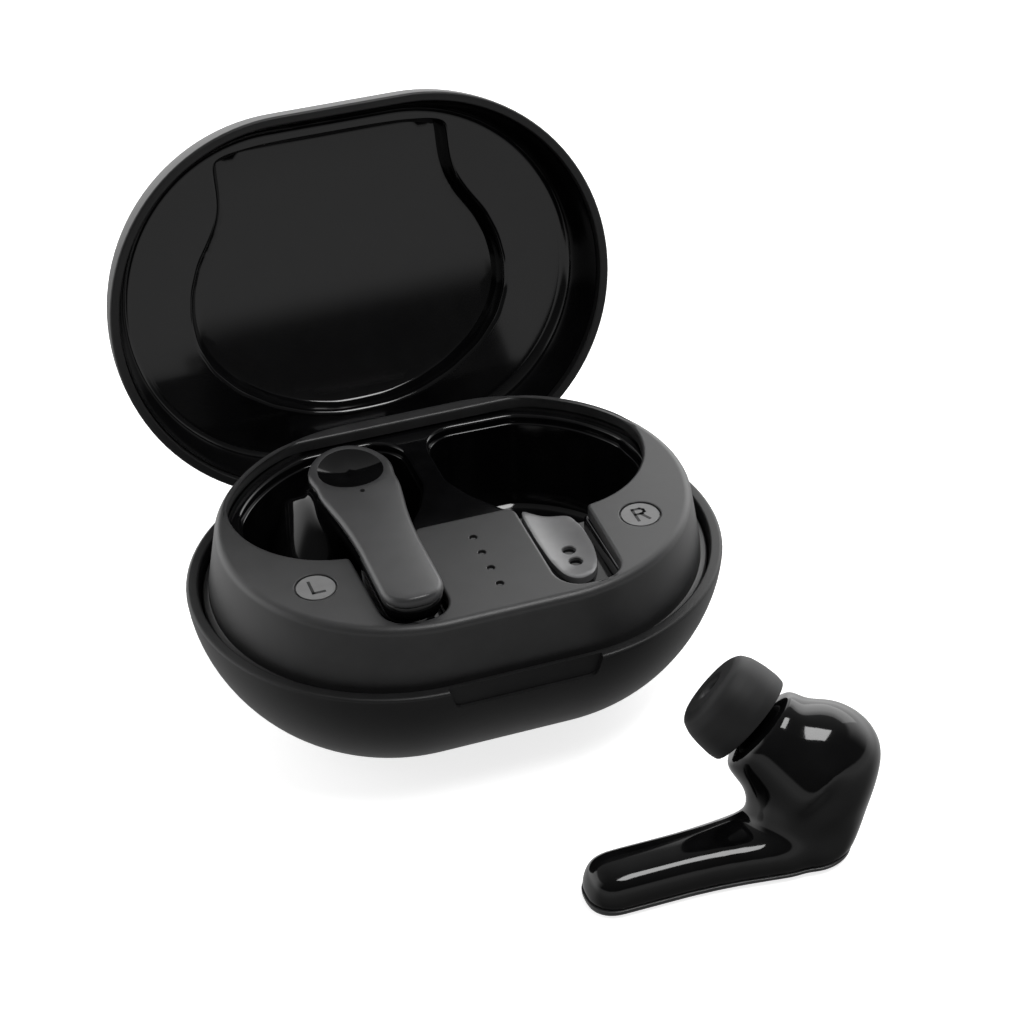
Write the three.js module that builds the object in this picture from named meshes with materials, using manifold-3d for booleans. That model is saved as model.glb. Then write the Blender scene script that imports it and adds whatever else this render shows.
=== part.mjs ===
// Charging case for a pair of stem earbuds: a two-part pebble shell on a rear hinge, a satin deck with two
// glossy wells, the left earbud in its seat and the right one lying face down on the surface in front.
// Millimetres, +Z up, +X to the right-hand earbud, +Y to the hinge.
// The origin is the centre of the flat base.
// The case is drawn with its lid open, turned back about the hinge.
import * as THREE from "three";
import { mergeVertices } from "three/addons/utils/BufferGeometryUtils.js";
import Module from "manifold-3d";

const wasm = await Module();
wasm.setup();

// ---- Driving dimensions ----
const GAP = 0.3; // clearance between separate pieces
const CASE = { width: 62, depth: 46.6, wall: 1.4 };
const BOWL = { rim: 17.5, run: 14.6, power: 1.75, floor: 1.4 };
const LID = { rim: 17.8, height: 14.4, run: 15, power: 2.4, wall: 1.1, crown: 1.0 };
const HINGE = { y: 22.1, z: 13.7, open: 106.4, knuckle: 1.15, pin: 0.5, half: 7.4, split: 4.7 };
const DECK = {
  top: 24.7,
  plate: 1.4,
  wall: 1.2,
  foot: [56.8, 42.3],
  crest: [54.6, 41.2],
  shift: -0.15,
  rim: 0.9,
};
const OPENING = { x: 12.65, y: 6.35, radius: 11.85 }; // centre of each round end of the deck opening
const TONGUE = { half: 5.9, y: -2.9 };
const SLOT = { x: 9.85, half: 3.8, end: -19.0 };
const SHELF = { top: 23.0, thick: 0.9 };
const WELL = { x: 12.65, y: 6.9, radius: 10.4, front: 12.0, inner: 1.4, floor: 10.7, wall: 0.8 };
const SUMP = { x: 16.4, y: 3.8, radius: 6.8, floor: 5.0 };
const SADDLE = { floor: 22.0, top: 22.3, bottom: 20.8 };
const LED = { y: -6.8, pitch: -3.0, count: 4, radius: 0.45 };
const BADGE = { x: 18.85, y: -9.35, radius: 2.15, depth: 0.35 };
const LINER = { face: 25.3, plate: 1.0, floor: 28.2, lip: 18.9 };
const BUD = {
  face: 27.2,
  tip: -18.5,
  half: 3.5,
  corner: 3.0,
  skin: 1.1,
  depth: 4.7,
  disc: 4.9,
  discY: 25.7,
};
const BULB_WALL = 0.8;
// the bulb's arm to the ear tip
const THROAT = { x: 2.03, y: 26.85, z: -8.4, wide: 5.7, narrow: 4.7, length: 7.9 };
const LEAN = new THREE.Vector3(0.535, -0.601, -0.594).normalize(); // direction of the arm and the ear tip
const NOZZLE = { radius: 2.6, bore: 1.8, end: 10.8 };
const CONTACT = { first: 6.3, pitch: 2.2, radius: 0.55, rest: 22.35 };
const LOOSE = { x: 0, y: -41.3 }; // where the tip of the loose earbud lies
const BATTERY = { half: 14, front: -17, back: -6.2, bottom: 7.6, top: 16.2, edge: 0.8, corner: 2.4 };
const BOARDS = {
  main: { width: 36, depth: 20, bottom: 2.6, top: 3.4 },
  contact: { half: 13.6, front: -16.6, back: -6.2, bottom: 18.6, top: 19.4 },
};
const SENSOR = { left: -4.6, right: -2.8, front: -10.4, back: -8.6, height: 0.9 };
const LAMP = { half: 0.5, depth: 0.3, height: 0.6 };
const UNDER_DECK = BOARDS.contact.top + 0.3; // foot of the parts that stand on the contact board
const CLOSING = { x: 17.4, y: -12.2, radius: 1.8, bottom: 20.4, top: 22.9, thick: 1.4 };
const HOLDING = { half: 1.7, front: -15.6, back: -13.4, height: 0.8 };
const SCREW = {
  places: [[-20.6, -6.6], [20.6, -6.6], [-4.2, -18.3], [4.2, -18.3]],
  head: 0.9,
  shank: 0.5,
  bottom: 13.2,
  neck: 14.0,
  top: 18.0,
};
const ARC = 12; // segments in each round end of a large outline

const finish = {
  shell: { color: 0x222224, roughness: 0.55, metalness: 0 },
  deck: { color: 0x4a4a4e, roughness: 0.5, metalness: 0 },
  gloss: { color: 0x101012, roughness: 0.12, metalness: 0 },
  satin: { color: 0x5c5c60, roughness: 0.35, metalness: 0 },
  silicone: { color: 0x1c1c1e, roughness: 0.8, metalness: 0 },
  gold: { color: 0xc9a24a, roughness: 0.3, metalness: 1 },
  steel: { color: 0x9a9da2, roughness: 0.35, metalness: 1 },
  board: { color: 0x14401f, roughness: 0.6, metalness: 0 },
  foil: { color: 0xb4b8bc, roughness: 0.4, metalness: 0.8 },
  clear: { color: 0xe8eef0, roughness: 0.2, metalness: 0 },
  mark: { color: 0x6c6c70, roughness: 0.6, metalness: 0 },
};

// ---- Outlines: lists of points, counter-clockwise seen from above ----
function arc(cx, cy, radius, from, to, steps) {
  const points = [];
  for (let i = 0; i <= steps; i++) {
    const a = THREE.MathUtils.degToRad(from + ((to - from) * i) / steps);
    points.push(new THREE.Vector2(cx + radius * Math.cos(a), cy + radius * Math.sin(a)));
  }
  return points;
}

function stadium(width, depth, cx = 0, cy = 0, steps = ARC) {
  const r = depth / 2;
  const half = width / 2 - r;
  return [
    ...arc(cx + half, cy, r, -90, 90, steps),
    ...arc(cx - half, cy, r, 90, 270, steps),
  ];
}

function circle(cx, cy, radius, steps = 18) {
  return arc(cx, cy, radius, 0, 360 - 360 / steps, steps - 1);
}

function roundedRectangle(x0, x1, y0, y1, r, steps = 4) {
  return [
    ...arc(x1 - r, y0 + r, r, -90, 0, steps),
    ...arc(x1 - r, y1 - r, r, 0, 90, steps),
    ...arc(x0 + r, y1 - r, r, 90, 180, steps),
    ...arc(x0 + r, y0 + r, r, 180, 270, steps),
  ];
}

function mirrored(points) {
  return points.map((p) => new THREE.Vector2(-p.x, p.y)).reverse();
}

// ---- Solids ----
// Joins loops of equal length into one closed surface: the first and last loops are capped.
function stack(loops) {
  const count = loops[0].outline.length;
  const positions = [];
  for (const { outline, z } of loops) {
    for (const p of outline) {
      positions.push(p.x, p.y, z);
    }
  }
  const index = [];
  for (let k = 0; k + 1 < loops.length; k++) {
    for (let j = 0; j < count; j++) {
      const a = k * count + j;
      const b = k * count + ((j + 1) % count);
      index.push(a, b, b + count, a, b + count, a + count);
    }
  }
  cap(loops[0].outline, 0, true, index);
  cap(loops[loops.length - 1].outline, (loops.length - 1) * count, false, index);
  const geometry = new THREE.BufferGeometry();
  geometry.setAttribute("position", new THREE.Float32BufferAttribute(positions, 3));
  geometry.setIndex(index);
  return geometry;
}

function cap(outline, first, facesBack, index) {
  for (const [i, j, k] of THREE.ShapeUtils.triangulateShape(outline, [])) {
    const [a, b, c] = [outline[i], outline[j], outline[k]];
    const turn = (b.x - a.x) * (c.y - a.y) - (b.y - a.y) * (c.x - a.x);
    if (turn > 0 !== facesBack) {
      index.push(first + i, first + j, first + k);
    } else {
      index.push(first + i, first + k, first + j);
    }
  }
}

function prism(outline, z0, z1) {
  return stack([{ outline, z: z0 }, { outline, z: z1 }]);
}

function block(x0, x1, y0, y1, z0, z1) {
  const box = new THREE.BoxGeometry(x1 - x0, y1 - y0, z1 - z0);
  return box.translate((x0 + x1) / 2, (y0 + y1) / 2, (z0 + z1) / 2);
}

// A cylinder from one point to another.
function rod(radius, from, to, segments = 16) {
  const along = new THREE.Vector3().subVectors(to, from);
  const cylinder = new THREE.CylinderGeometry(radius, radius, along.length(), segments);
  const turn = new THREE.Quaternion().setFromUnitVectors(new THREE.Vector3(0, 1, 0), along.normalize());
  return cylinder.applyQuaternion(turn).translate(
    (from.x + to.x) / 2,
    (from.y + to.y) / 2,
    (from.z + to.z) / 2,
  );
}

function post(x, y, radius, z0, z1, segments = 16) {
  return rod(radius, new THREE.Vector3(x, y, z0), new THREE.Vector3(x, y, z1), segments);
}

// A prism whose outline is drawn in the YZ plane and which runs along X.
function profileAlongX(points, x0, x1) {
  const shape = new THREE.Shape(points.map(([y, z]) => new THREE.Vector2(y, z)));
  const geometry = new THREE.ExtrudeGeometry(shape, { depth: x1 - x0, bevelEnabled: false });
  const basis = new THREE.Matrix4().makeBasis(
    new THREE.Vector3(0, 1, 0),
    new THREE.Vector3(0, 0, 1),
    new THREE.Vector3(1, 0, 0),
  );
  return geometry.applyMatrix4(basis).translate(x0, 0, 0);
}

function toSolid(geometry) {
  const bare = geometry.index ? geometry.toNonIndexed() : geometry.clone();
  bare.deleteAttribute("normal");
  bare.deleteAttribute("uv");
  const merged = mergeVertices(bare, 1e-4);
  return new wasm.Manifold(
    new wasm.Mesh({
      numProp: 3,
      vertProperties: merged.attributes.position.array,
      triVerts: new Uint32Array(merged.index.array),
    }),
  );
}

function asSolid(piece) {
  return piece.isBufferGeometry ? toSolid(piece) : piece;
}

function joined(first, ...others) {
  return others.reduce((whole, piece) => whole.add(asSolid(piece)), asSolid(first));
}

function cut(first, ...tools) {
  return tools.reduce((whole, tool) => whole.subtract(asSolid(tool)), asSolid(first));
}

function common(first, second) {
  return asSolid(first).intersect(asSolid(second));
}

function toGeometry(piece) {
  if (piece.isBufferGeometry) {
    return piece;
  }
  const { numProp, vertProperties, triVerts } = piece.getMesh();
  const positions = new Float32Array((vertProperties.length / numProp) * 3);
  for (let i = 0; i * 3 < positions.length; i++) {
    positions.set(vertProperties.subarray(i * numProp, i * numProp + 3), i * 3);
  }
  const geometry = new THREE.BufferGeometry();
  geometry.setAttribute("position", new THREE.BufferAttribute(positions, 3));
  geometry.setIndex(new THREE.BufferAttribute(new Uint32Array(triVerts), 1));
  return geometry;
}

function add(group, name, look, piece) {
  const geometry = toGeometry(piece);
  geometry.computeVertexNormals();
  const mesh = new THREE.Mesh(geometry, new THREE.MeshStandardMaterial(finish[look]));
  mesh.name = name;
  group.add(mesh);
}

// ---- Shell profiles ----
// Insets and heights of a quarter superellipse: 0 at the rim, 1 at the crown.
function quarter(power, steps) {
  const profile = [];
  for (let i = 0; i <= steps; i++) {
    const t = (Math.PI / 2) * (i / steps);
    profile.push({
      inset: 1 - Math.max(0, Math.cos(t)) ** (2 / power),
      rise: Math.sin(t) ** (2 / power),
    });
  }
  return profile;
}

function caseOutline(inset) {
  return stadium(CASE.width - 2 * inset, CASE.depth - 2 * inset);
}

function lowerShell() {
  const outside = quarter(BOWL.power, 8).map(({ inset, rise }) => ({
    outline: caseOutline(BOWL.run * inset),
    z: BOWL.rim * (1 - rise),
  }));
  outside[0] = { outline: caseOutline(0), z: BOWL.rim - 0.35 };
  const inside = quarter(BOWL.power, 7).map(({ inset, rise }) => ({
    outline: caseOutline(CASE.wall + BOWL.run * inset),
    z: BOWL.rim - (BOWL.rim - BOWL.floor) * rise,
  }));
  const rimTop = { outline: caseOutline(0.3), z: BOWL.rim };
  const body = stack([...outside.reverse(), rimTop, ...inside]);
  const thumbNotch = profileAlongX([[-26, 14.9], [-22.75, 14.9], [-22.1, 18], [-26, 18]], -8.2, 8.2);
  const hingeNotch = block(-8, 8, 19.5, 26, 11.9, 18);
  const portHole = portOutline(9.4, 3.7, 13, 24);
  return cut(body, thumbNotch, hingeNotch, portHole);
}

// ---- Charging port, centred at the back near the base ----
const PORT = { z: 6.6, width: 8.9, height: 3.2, wall: 0.35, from: 11.4, to: 18.5 };

function portOutline(width, height, y0, y1) {
  const lying = prism(stadium(width, height, 0, 0, 5), 0, y1 - y0);
  return lying.rotateX(-Math.PI / 2).translate(0, y0, PORT.z);
}

function chargingPort() {
  const { width, height, wall, from, to } = PORT;
  const shell = cut(
    portOutline(width, height, from, to),
    portOutline(width - 2 * wall, height - 2 * wall, from + wall, to + 1),
  );
  return joined(shell, block(-3.3, 3.3, from + 0.1, to - 1, PORT.z - 0.35, PORT.z + 0.35));
}

// ---- Deck: the satin cover with the openings ----
function deckOutline([width, depth], inset, shift) {
  return stadium(width - 2 * inset, depth - 2 * inset, 0, shift);
}

function deckBody() {
  const { foot, crest, shift, top } = DECK;
  const flange = [foot[0] + 1.6, foot[1] + 0.7];
  return stack([
    { outline: deckOutline(foot, 0.2, 0), z: 13.6 },
    { outline: deckOutline(foot, 0.2, 0), z: 15.1 },
    { outline: deckOutline(flange, 0, 0), z: 15.3 },
    { outline: deckOutline(flange, 0, 0), z: 16.3 },
    { outline: deckOutline(foot, 0, 0), z: 16.4 },
    { outline: deckOutline(foot, 0, 0), z: 17.5 },
    { outline: deckOutline(crest, 0, shift), z: top - 0.9 },
    { outline: deckOutline(crest, 0.25, shift), z: top - 0.35 },
    { outline: deckOutline(crest, 0.85, shift), z: top },
  ]);
}

// The space inside the deck's wall, drawn in by a clearance and reaching down to the level given.
function insideDeck(clearance, bottom) {
  const { foot, crest, wall, shift, top, plate } = DECK;
  return stack([
    { outline: deckOutline(foot, wall + 0.2 + clearance, 0), z: bottom },
    { outline: deckOutline(foot, wall + 0.2 + clearance, 0), z: 17.5 },
    { outline: deckOutline(crest, wall + clearance, shift), z: top - plate },
  ]);
}

// The deck opening, kept a narrow rim away from the deck's own edge at the rear corners.
function deckOpening(z0, z1) {
  const rim = prism(deckOutline(DECK.crest, DECK.rim, DECK.shift), z0, z1);
  return common(prism(openingOutline(), z0, z1), rim);
}

// The opening's straight sides and round ends, less the tongue between the two stem slots.
function openingOutline() {
  const { x, y, radius } = OPENING;
  return [
    ...arc(x, y, radius, -90, 90, ARC),
    ...arc(-x, y, radius, 90, 270, ARC),
    new THREE.Vector2(-TONGUE.half, y - radius),
    new THREE.Vector2(-TONGUE.half + 0.8, TONGUE.y),
    new THREE.Vector2(TONGUE.half - 0.8, TONGUE.y),
    new THREE.Vector2(TONGUE.half, y - radius),
  ];
}

function slotOutline(side, grow = 0) {
  const half = SLOT.half + grow;
  const back = 2;
  const points = [
    ...arc(SLOT.x + half - 3, SLOT.end + 3 - grow, 3, -90, 0, 5),
    new THREE.Vector2(SLOT.x + half, back),
    new THREE.Vector2(SLOT.x - half, back),
    ...arc(SLOT.x - half + 3, SLOT.end + 3 - grow, 3, 180, 270, 5),
  ];
  return side > 0 ? points : mirrored(points);
}

function deck() {
  const above = DECK.top + 1;
  const below = DECK.top - DECK.plate - 1;
  const hingeRelief = block(-8.2, 8.2, 19.2, 24, 11, 22.9);
  let body = cut(deckBody(), insideDeck(0, 12.5), deckOpening(below, above), hingeRelief);
  for (const side of [-1, 1]) {
    body = cut(
      body,
      prism(slotOutline(side), below, above),
      post(side * BADGE.x, BADGE.y, BADGE.radius + 0.35, DECK.top - BADGE.depth, above, 24),
    );
  }
  for (let i = 0; i < LED.count; i++) {
    body = cut(body, post(0, LED.y + i * LED.pitch, LED.radius, below, above, 10));
  }
  return body;
}

// ---- Cradle tray: shelf, wells and stem troughs under the deck ----
function wellOutline(side, grow = 0) {
  const { x, y, radius, front, inner } = WELL;
  const corner = 3.8;
  const back = y + radius + grow;
  const outer = [];
  for (let i = 0; i <= ARC; i++) {
    const angle = -90 + (180 * i) / ARC;
    const towardsFront = THREE.MathUtils.smoothstep(-angle, -5, 30);
    const reach = THREE.MathUtils.lerp(radius, front, towardsFront) + grow;
    outer.push(...arc(x, y, reach, angle, angle, 1).slice(1));
  }
  const points = [
    ...outer,
    ...arc(inner + corner - grow, back - corner, corner, 90, 180, 4),
    new THREE.Vector2(inner - grow, 7.2),
    new THREE.Vector2(3.0 - grow, 3.4 - grow),
    new THREE.Vector2(6.4 - grow, -1.6 - grow),
  ];
  return side > 0 ? points : mirrored(points);
}

// The deep end of a well, where the ear tip hangs; it narrows towards the floor to clear the round shell.
function sump(side, grow) {
  const { x, y, radius, floor } = SUMP;
  const levels = [
    { z: floor - grow, r: radius - 2.0, dx: -1.2 },
    { z: floor + 2.0, r: radius - 0.6, dx: -0.4 },
    { z: floor + 4.6, r: radius, dx: 0 },
    { z: WELL.floor + 1, r: radius, dx: 0 },
  ];
  return stack(
    levels.map(({ z, r, dx }) => ({ outline: circle(side * (x + dx), y, r + grow), z })),
  );
}

function carrierOutline(side, grow) {
  const points = roundedRectangle(7.5 - grow, 12.9 + grow, -15.9 - grow, -4.2 + grow, 1.6 + grow);
  return side > 0 ? points : mirrored(points);
}

function cradleTray() {
  const { top, thick } = SHELF;
  let body = toSolid(
    prism(
      stadium(2 * (OPENING.x + OPENING.radius + 1), 2 * (OPENING.radius + 1), 0, OPENING.y),
      top - thick,
      top,
    ),
  );
  for (const side of [-1, 1]) {
    body = joined(
      body,
      prism(slotOutline(side, 0.6), SADDLE.floor - 0.8, top),
      prism(wellOutline(side, WELL.wall), WELL.floor - WELL.wall, top),
      sump(side, WELL.wall),
    );
  }
  body = cut(common(body, insideDeck(GAP, 0)), block(-1.1, 1.1, -8, -5.5, top - thick - 1, top + 1));
  const cavity = insideDeck(GAP + WELL.wall, 0);
  for (const side of [-1, 1]) {
    body = cut(
      body,
      prism(slotOutline(side), SADDLE.floor, top + 1),
      common(prism(wellOutline(side), WELL.floor, top + 0.2), cavity),
      sump(side, 0),
      prism(carrierOutline(side, GAP), SADDLE.floor - 2, SADDLE.floor + 1),
    );
  }
  return body;
}

function batteryCell() {
  const { half, front, back, bottom, top, edge, corner } = BATTERY;
  const whole = roundedRectangle(-half, half, front, back, corner);
  const end = roundedRectangle(-half + edge, half - edge, front + edge, back - edge, corner - edge / 2);
  return stack([
    { outline: end, z: bottom },
    { outline: whole, z: bottom + edge },
    { outline: whole, z: top - edge },
    { outline: end, z: top },
  ]);
}

function contactY(index) {
  return BUD.tip + CONTACT.first + index * CONTACT.pitch;
}

function contactCarrier(side) {
  let body = toSolid(prism(carrierOutline(side, 0), SADDLE.bottom, SADDLE.top));
  for (const index of [0, 1]) {
    body = cut(body, post(side * SLOT.x, contactY(index), CONTACT.radius + 0.1, 20, 23, 12));
  }
  return body;
}

function lightGuide() {
  const last = LED.y + (LED.count - 1) * LED.pitch;
  let body = toSolid(block(-0.8, 0.8, last - 1, LED.y + 1, 22.0, 22.9));
  for (let i = 0; i < LED.count; i++) {
    body = joined(body, post(0, LED.y + i * LED.pitch, 0.3, 22.5, DECK.top - 0.25, 8));
  }
  return body;
}

// ---- Hinge ----
function hingeAxis(radius, x0, x1, segments = 16) {
  return rod(
    radius,
    new THREE.Vector3(x0, HINGE.y, HINGE.z),
    new THREE.Vector3(x1, HINGE.y, HINGE.z),
    segments,
  );
}

function hingeBracket() {
  const { y, z, knuckle, pin, split } = HINGE;
  const body = joined(
    hingeAxis(knuckle, -split, split),
    block(-split, split, 18.6, y - 0.2, z - 0.7, z + 0.7),
    block(-7.4, 7.4, 18.5, 19.1, 10.6, 16.6),
  );
  return cut(body, hingeAxis(pin + 0.05, -split - 1, split + 1, 12));
}

// Drawn closed: two knuckles on the pin, rising inside the lid's back wall to one cross plate.
function lidHingeArms() {
  const { y, z, knuckle, pin, half, split } = HINGE;
  const plate = block(-half, half, 19.9, 21.5, 18.3, 21.8);
  let body = toSolid(plate);
  for (const side of [-1, 1]) {
    const x0 = side > 0 ? split + GAP : -half;
    const x1 = side > 0 ? half : -split - GAP;
    body = joined(
      body,
      hingeAxis(knuckle, x0, x1),
      profileAlongX(
        [[y - 1.1, z - 0.1], [y + 1.0, z + 0.2], [21.5, 18.5], [19.9, 18.5], [20.4, 16.2]],
        x0,
        x1,
      ),
    );
  }
  return cut(body, hingeAxis(pin + 0.05, -half - 1, half + 1, 12));
}

// ---- Lid, drawn closed ----
function domeLoops(rimInset, height, steps, first) {
  return quarter(LID.power, steps).slice(first).map(({ inset, rise }) => ({
    outline: caseOutline(rimInset + LID.run * inset),
    z: LID.rim + height * rise,
  }));
}

function lidShell() {
  const outside = [
    { outline: caseOutline(0.25), z: LID.rim },
    { outline: caseOutline(0.02), z: LID.rim + 0.35 },
    ...domeLoops(0, LID.height, 10, 2),
  ];
  const inside = domeLoops(LID.wall, LID.height - LID.crown, 8, 0);
  return stack([...outside.reverse(), ...inside].reverse());
}

// Half of the pocket's lip, from the front centre to the back centre, as a smooth curve on the right.
function pocketOutline(inset) {
  const front = LINER.lip - inset;
  const corner = CASE.depth / 2 - LINER.lip;
  const bulge = new THREE.SplineCurve([
    new THREE.Vector2(14 - inset, -11.5),
    new THREE.Vector2(16.2 - inset, -7.7),
    new THREE.Vector2(18.9 - inset, -3.4),
    new THREE.Vector2(20.2 - inset, 1.2),
    new THREE.Vector2(18.9 - inset, 6.0),
    new THREE.Vector2(14.6 - inset, 11.6 - 0.7 * inset),
    new THREE.Vector2(7.9, 15.9 - inset),
    new THREE.Vector2(2.6, 16.6 - inset),
  ]).getPoints(16);
  const straight = (CASE.width - CASE.depth) / 2;
  const reach = 14 - inset;
  const angle = THREE.MathUtils.radToDeg(Math.asin((reach - straight) / front)) - 90;
  const right = [
    new THREE.Vector2(2.6, -front),
    ...arc(straight, 0, front, -90, angle, 3),
    new THREE.Vector2(reach, -front + corner * 0.4 + 1.4),
    ...bulge,
  ];
  return [...right, ...mirrored(right)];
}

function lidLiner() {
  const { face, plate, floor } = LINER;
  const inner = quarter(LID.power, 8).map(({ inset, rise }) => ({
    outline: caseOutline(LID.wall + GAP + LID.run * inset),
    z: LID.rim + (LID.height - LID.crown - GAP) * rise,
  }));
  const filling = common(stack(inner), block(-40, 40, -40, 40, face, 40));
  const backing = cut(
    block(-40, 40, -40, 40, face + plate, 40),
    prism(pocketOutline(-0.9), face, floor + 0.8),
  );
  const pocket = stack([
    { outline: pocketOutline(0), z: face - 1 },
    { outline: pocketOutline(0), z: face + 1.4 },
    { outline: pocketOutline(0.4), z: face + 2.2 },
    { outline: pocketOutline(1.2), z: floor },
  ]);
  return cut(filling, backing, pocket);
}

// ---- Earbud: tip of the stem at the origin, stem along +Y, outer face at z = 0, inner side below ----
function budOutline(inset) {
  const { half, corner, disc, discY } = BUD;
  const w = half - inset;
  const r = corner - inset;
  const flare = 50; // where the stem's flare meets the disc, in degrees below its side
  const right = [
    ...arc(w - r, inset + r, r, -90, 0, 4),
    new THREE.Vector2(w, 13),
    new THREE.Vector2(w + 0.15, 18.5),
    ...arc(0, discY, disc - inset, -flare, 90, 8),
  ];
  return [...right.slice(0, -1), ...mirrored(right)];
}

// Ellipses from the disc behind the outer shell down to the rounded end of the bulb.
function bulbLoops(side, shrink, top) {
  const levels = [
    { z: top, x: 0, y: 25.7, rx: 4.8, ry: 4.8 },
    { z: -3.2, x: 0.1, y: 25.5, rx: 4.7, ry: 5.0 },
    { z: -5.0, x: 0.5, y: 24.9, rx: 4.8, ry: 6.2 },
    { z: -7.2, x: 1.3, y: 26.2, rx: 5.4, ry: 7.2 },
    { z: -9.4, x: 2.2, y: 27.5, rx: 6.0, ry: 7.1 },
    { z: -11.2, x: 2.5, y: 28.0, rx: 6.0, ry: 6.8 },
    { z: -13.2, x: 2.7, y: 28.0, rx: 5.2, ry: 5.8 },
    { z: -14.9, x: 2.8, y: 27.8, rx: 3.8, ry: 4.2 },
    { z: -16.0, x: 2.9, y: 27.6, rx: 1.8, ry: 2.0 },
  ];
  return levels.map(({ z, x, y, rx, ry }) => ({
    outline: circle(0, 0, 1, 16).map(
      (p) => new THREE.Vector2(side * x + p.x * (rx - shrink), y + p.y * (ry - shrink)),
    ),
    z: z === top ? z : Math.max(z, -16 + shrink),
  }));
}

function alongNozzle(side, distance) {
  return new THREE.Vector3(
    side * (THROAT.x + LEAN.x * distance),
    THROAT.y + LEAN.y * distance,
    THROAT.z + LEAN.z * distance,
  );
}

// A tapered rod along the ear tip's axis.
function throat(side, wide, narrow, from, to) {
  const cone = new THREE.CylinderGeometry(narrow, wide, to - from, 18).translate(0, (from + to) / 2, 0);
  return placeOnNozzle(cone, side);
}

// Turns a shape drawn about +Y so that it lies along the ear tip's axis.
function placeOnNozzle(geometry, side) {
  const lean = new THREE.Vector3(side * LEAN.x, LEAN.y, LEAN.z);
  const turn = new THREE.Quaternion().setFromUnitVectors(new THREE.Vector3(0, 1, 0), lean);
  return geometry.applyQuaternion(turn).translate(side * THROAT.x, THROAT.y, THROAT.z);
}

function budOuterShell() {
  const body = stack([
    { outline: budOutline(0), z: -BUD.skin },
    { outline: budOutline(0.05), z: -0.55 },
    { outline: budOutline(0.5), z: 0 },
  ]);
  return cut(body, post(0, 21.0, 0.3, -0.6, 1, 8));
}

function budInnerShell(side) {
  const top = -BUD.skin - 0.25;
  const wall = BULB_WALL;
  const { wide, narrow, length } = THROAT;
  const stem = stack([
    { outline: budOutline(0.9), z: -BUD.depth },
    { outline: budOutline(0.25), z: -BUD.depth + 0.6 },
    { outline: budOutline(0.1), z: top },
  ]);
  const bulb = stack(bulbLoops(side, 0, top).reverse());
  const arm = throat(side, wide, narrow, 0, length);
  const armHollow = throat(side, wide - wall, narrow - wall, -0.1, length - wall);
  const tube = rod(NOZZLE.radius, alongNozzle(side, length - 0.5), alongNozzle(side, NOZZLE.end), 16);
  const stemHollow = prism(budOutline(wall + 0.1), -BUD.depth + wall, top + 1);
  const bulbHollow = stack(bulbLoops(side, wall, top + 1).reverse());
  const bore = rod(NOZZLE.bore, alongNozzle(side, length - 1.5), alongNozzle(side, NOZZLE.end + 1), 14);
  let body = cut(joined(stem, bulb, arm, tube), stemHollow, bulbHollow, armHollow, bore);
  for (const index of [0, 1]) {
    const y = CONTACT.first + index * CONTACT.pitch;
    body = cut(body, post(0, y, CONTACT.radius + 0.4, -BUD.depth - 1, -BUD.depth + 1, 12));
  }
  return body;
}

// Soft tip: a sleeve on the nozzle with a domed skirt folded back over it.
function earTip(side) {
  const profile = [
    [2.9, 8.7], [3.5, 8.7], [3.6, 12.0], [4.3, 11.8], [4.85, 10.8], [5.05, 9.6], [5.0, 8.5], [5.4, 8.3],
    [5.55, 9.6], [5.4, 11.0], [5.0, 12.3], [4.1, 13.3], [2.9, 13.7], [2.1, 13.3], [2.1, 11.2], [2.9, 11.1],
  ].map(([r, t]) => new THREE.Vector2(r, t));
  profile.push(profile[0].clone());
  return placeOnNozzle(new THREE.LatheGeometry(profile, 18), side);
}

function earbud(name, side) {
  const bud = new THREE.Group();
  add(bud, name + "_outer_shell", "satin", budOuterShell());
  add(bud, name + "_inner_shell", "gloss", budInnerShell(side));
  add(bud, name + "_ear_tip", "silicone", earTip(side));
  add(bud, name + "_nozzle_mesh", "steel", rod(1.4, alongNozzle(side, 10.1), alongNozzle(side, 10.4), 12));
  add(bud, name + "_driver", "steel", rod(3.4, alongNozzle(side, 3.0), alongNozzle(side, 5.2), 18));
  add(bud, name + "_cell", "foil", post(side * 0.9, 26.0, 3.0, -6.6, -3.8, 16));
  add(bud, name + "_board", "board", block(-1.9, 1.9, 10.5, 19.5, -3.4, -2.8));
  add(bud, name + "_magnet", "steel", block(-1.7, 1.7, 2.6, 5.2, -3.4, -2.0));
  ["front", "rear"].forEach((place, index) => {
    const y = CONTACT.first + index * CONTACT.pitch;
    const pad = post(0, y, CONTACT.radius, -BUD.depth, -BUD.depth + 1.4, 12);
    add(bud, name + "_contact_" + place, "gold", pad);
  });
  return bud;
}

// ---- Assembly ----
const product = new THREE.Group();
add(product, "lower_shell", "shell", lowerShell());
add(product, "deck", "deck", deck());
add(product, "cradle_tray", "gloss", cradleTray());
add(product, "usb_c_receptacle", "steel", chargingPort());
const main = BOARDS.main;
add(product, "main_board", "board", prism(stadium(main.width, main.depth, 0, 0, 8), main.bottom, main.top));
add(product, "battery_cell", "foil", batteryCell());
const flat = BOARDS.contact;
const flatBoard = block(-flat.half, flat.half, flat.front, flat.back, flat.bottom, flat.top);
add(product, "contact_board", "board", flatBoard);
add(product, "light_guide", "clear", lightGuide());
const sensorTop = UNDER_DECK + SENSOR.height;
const sensor = block(SENSOR.left, SENSOR.right, SENSOR.front, SENSOR.back, UNDER_DECK, sensorTop);
add(product, "lid_sensor", "gloss", sensor);
for (let i = 0; i < LED.count; i++) {
  const y = LED.y + i * LED.pitch;
  const lamp = block(-LAMP.half, LAMP.half, y - LAMP.depth, y + LAMP.depth, UNDER_DECK, UNDER_DECK + LAMP.height);
  add(product, "status_led_" + (i + 1), "clear", lamp);
}
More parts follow.
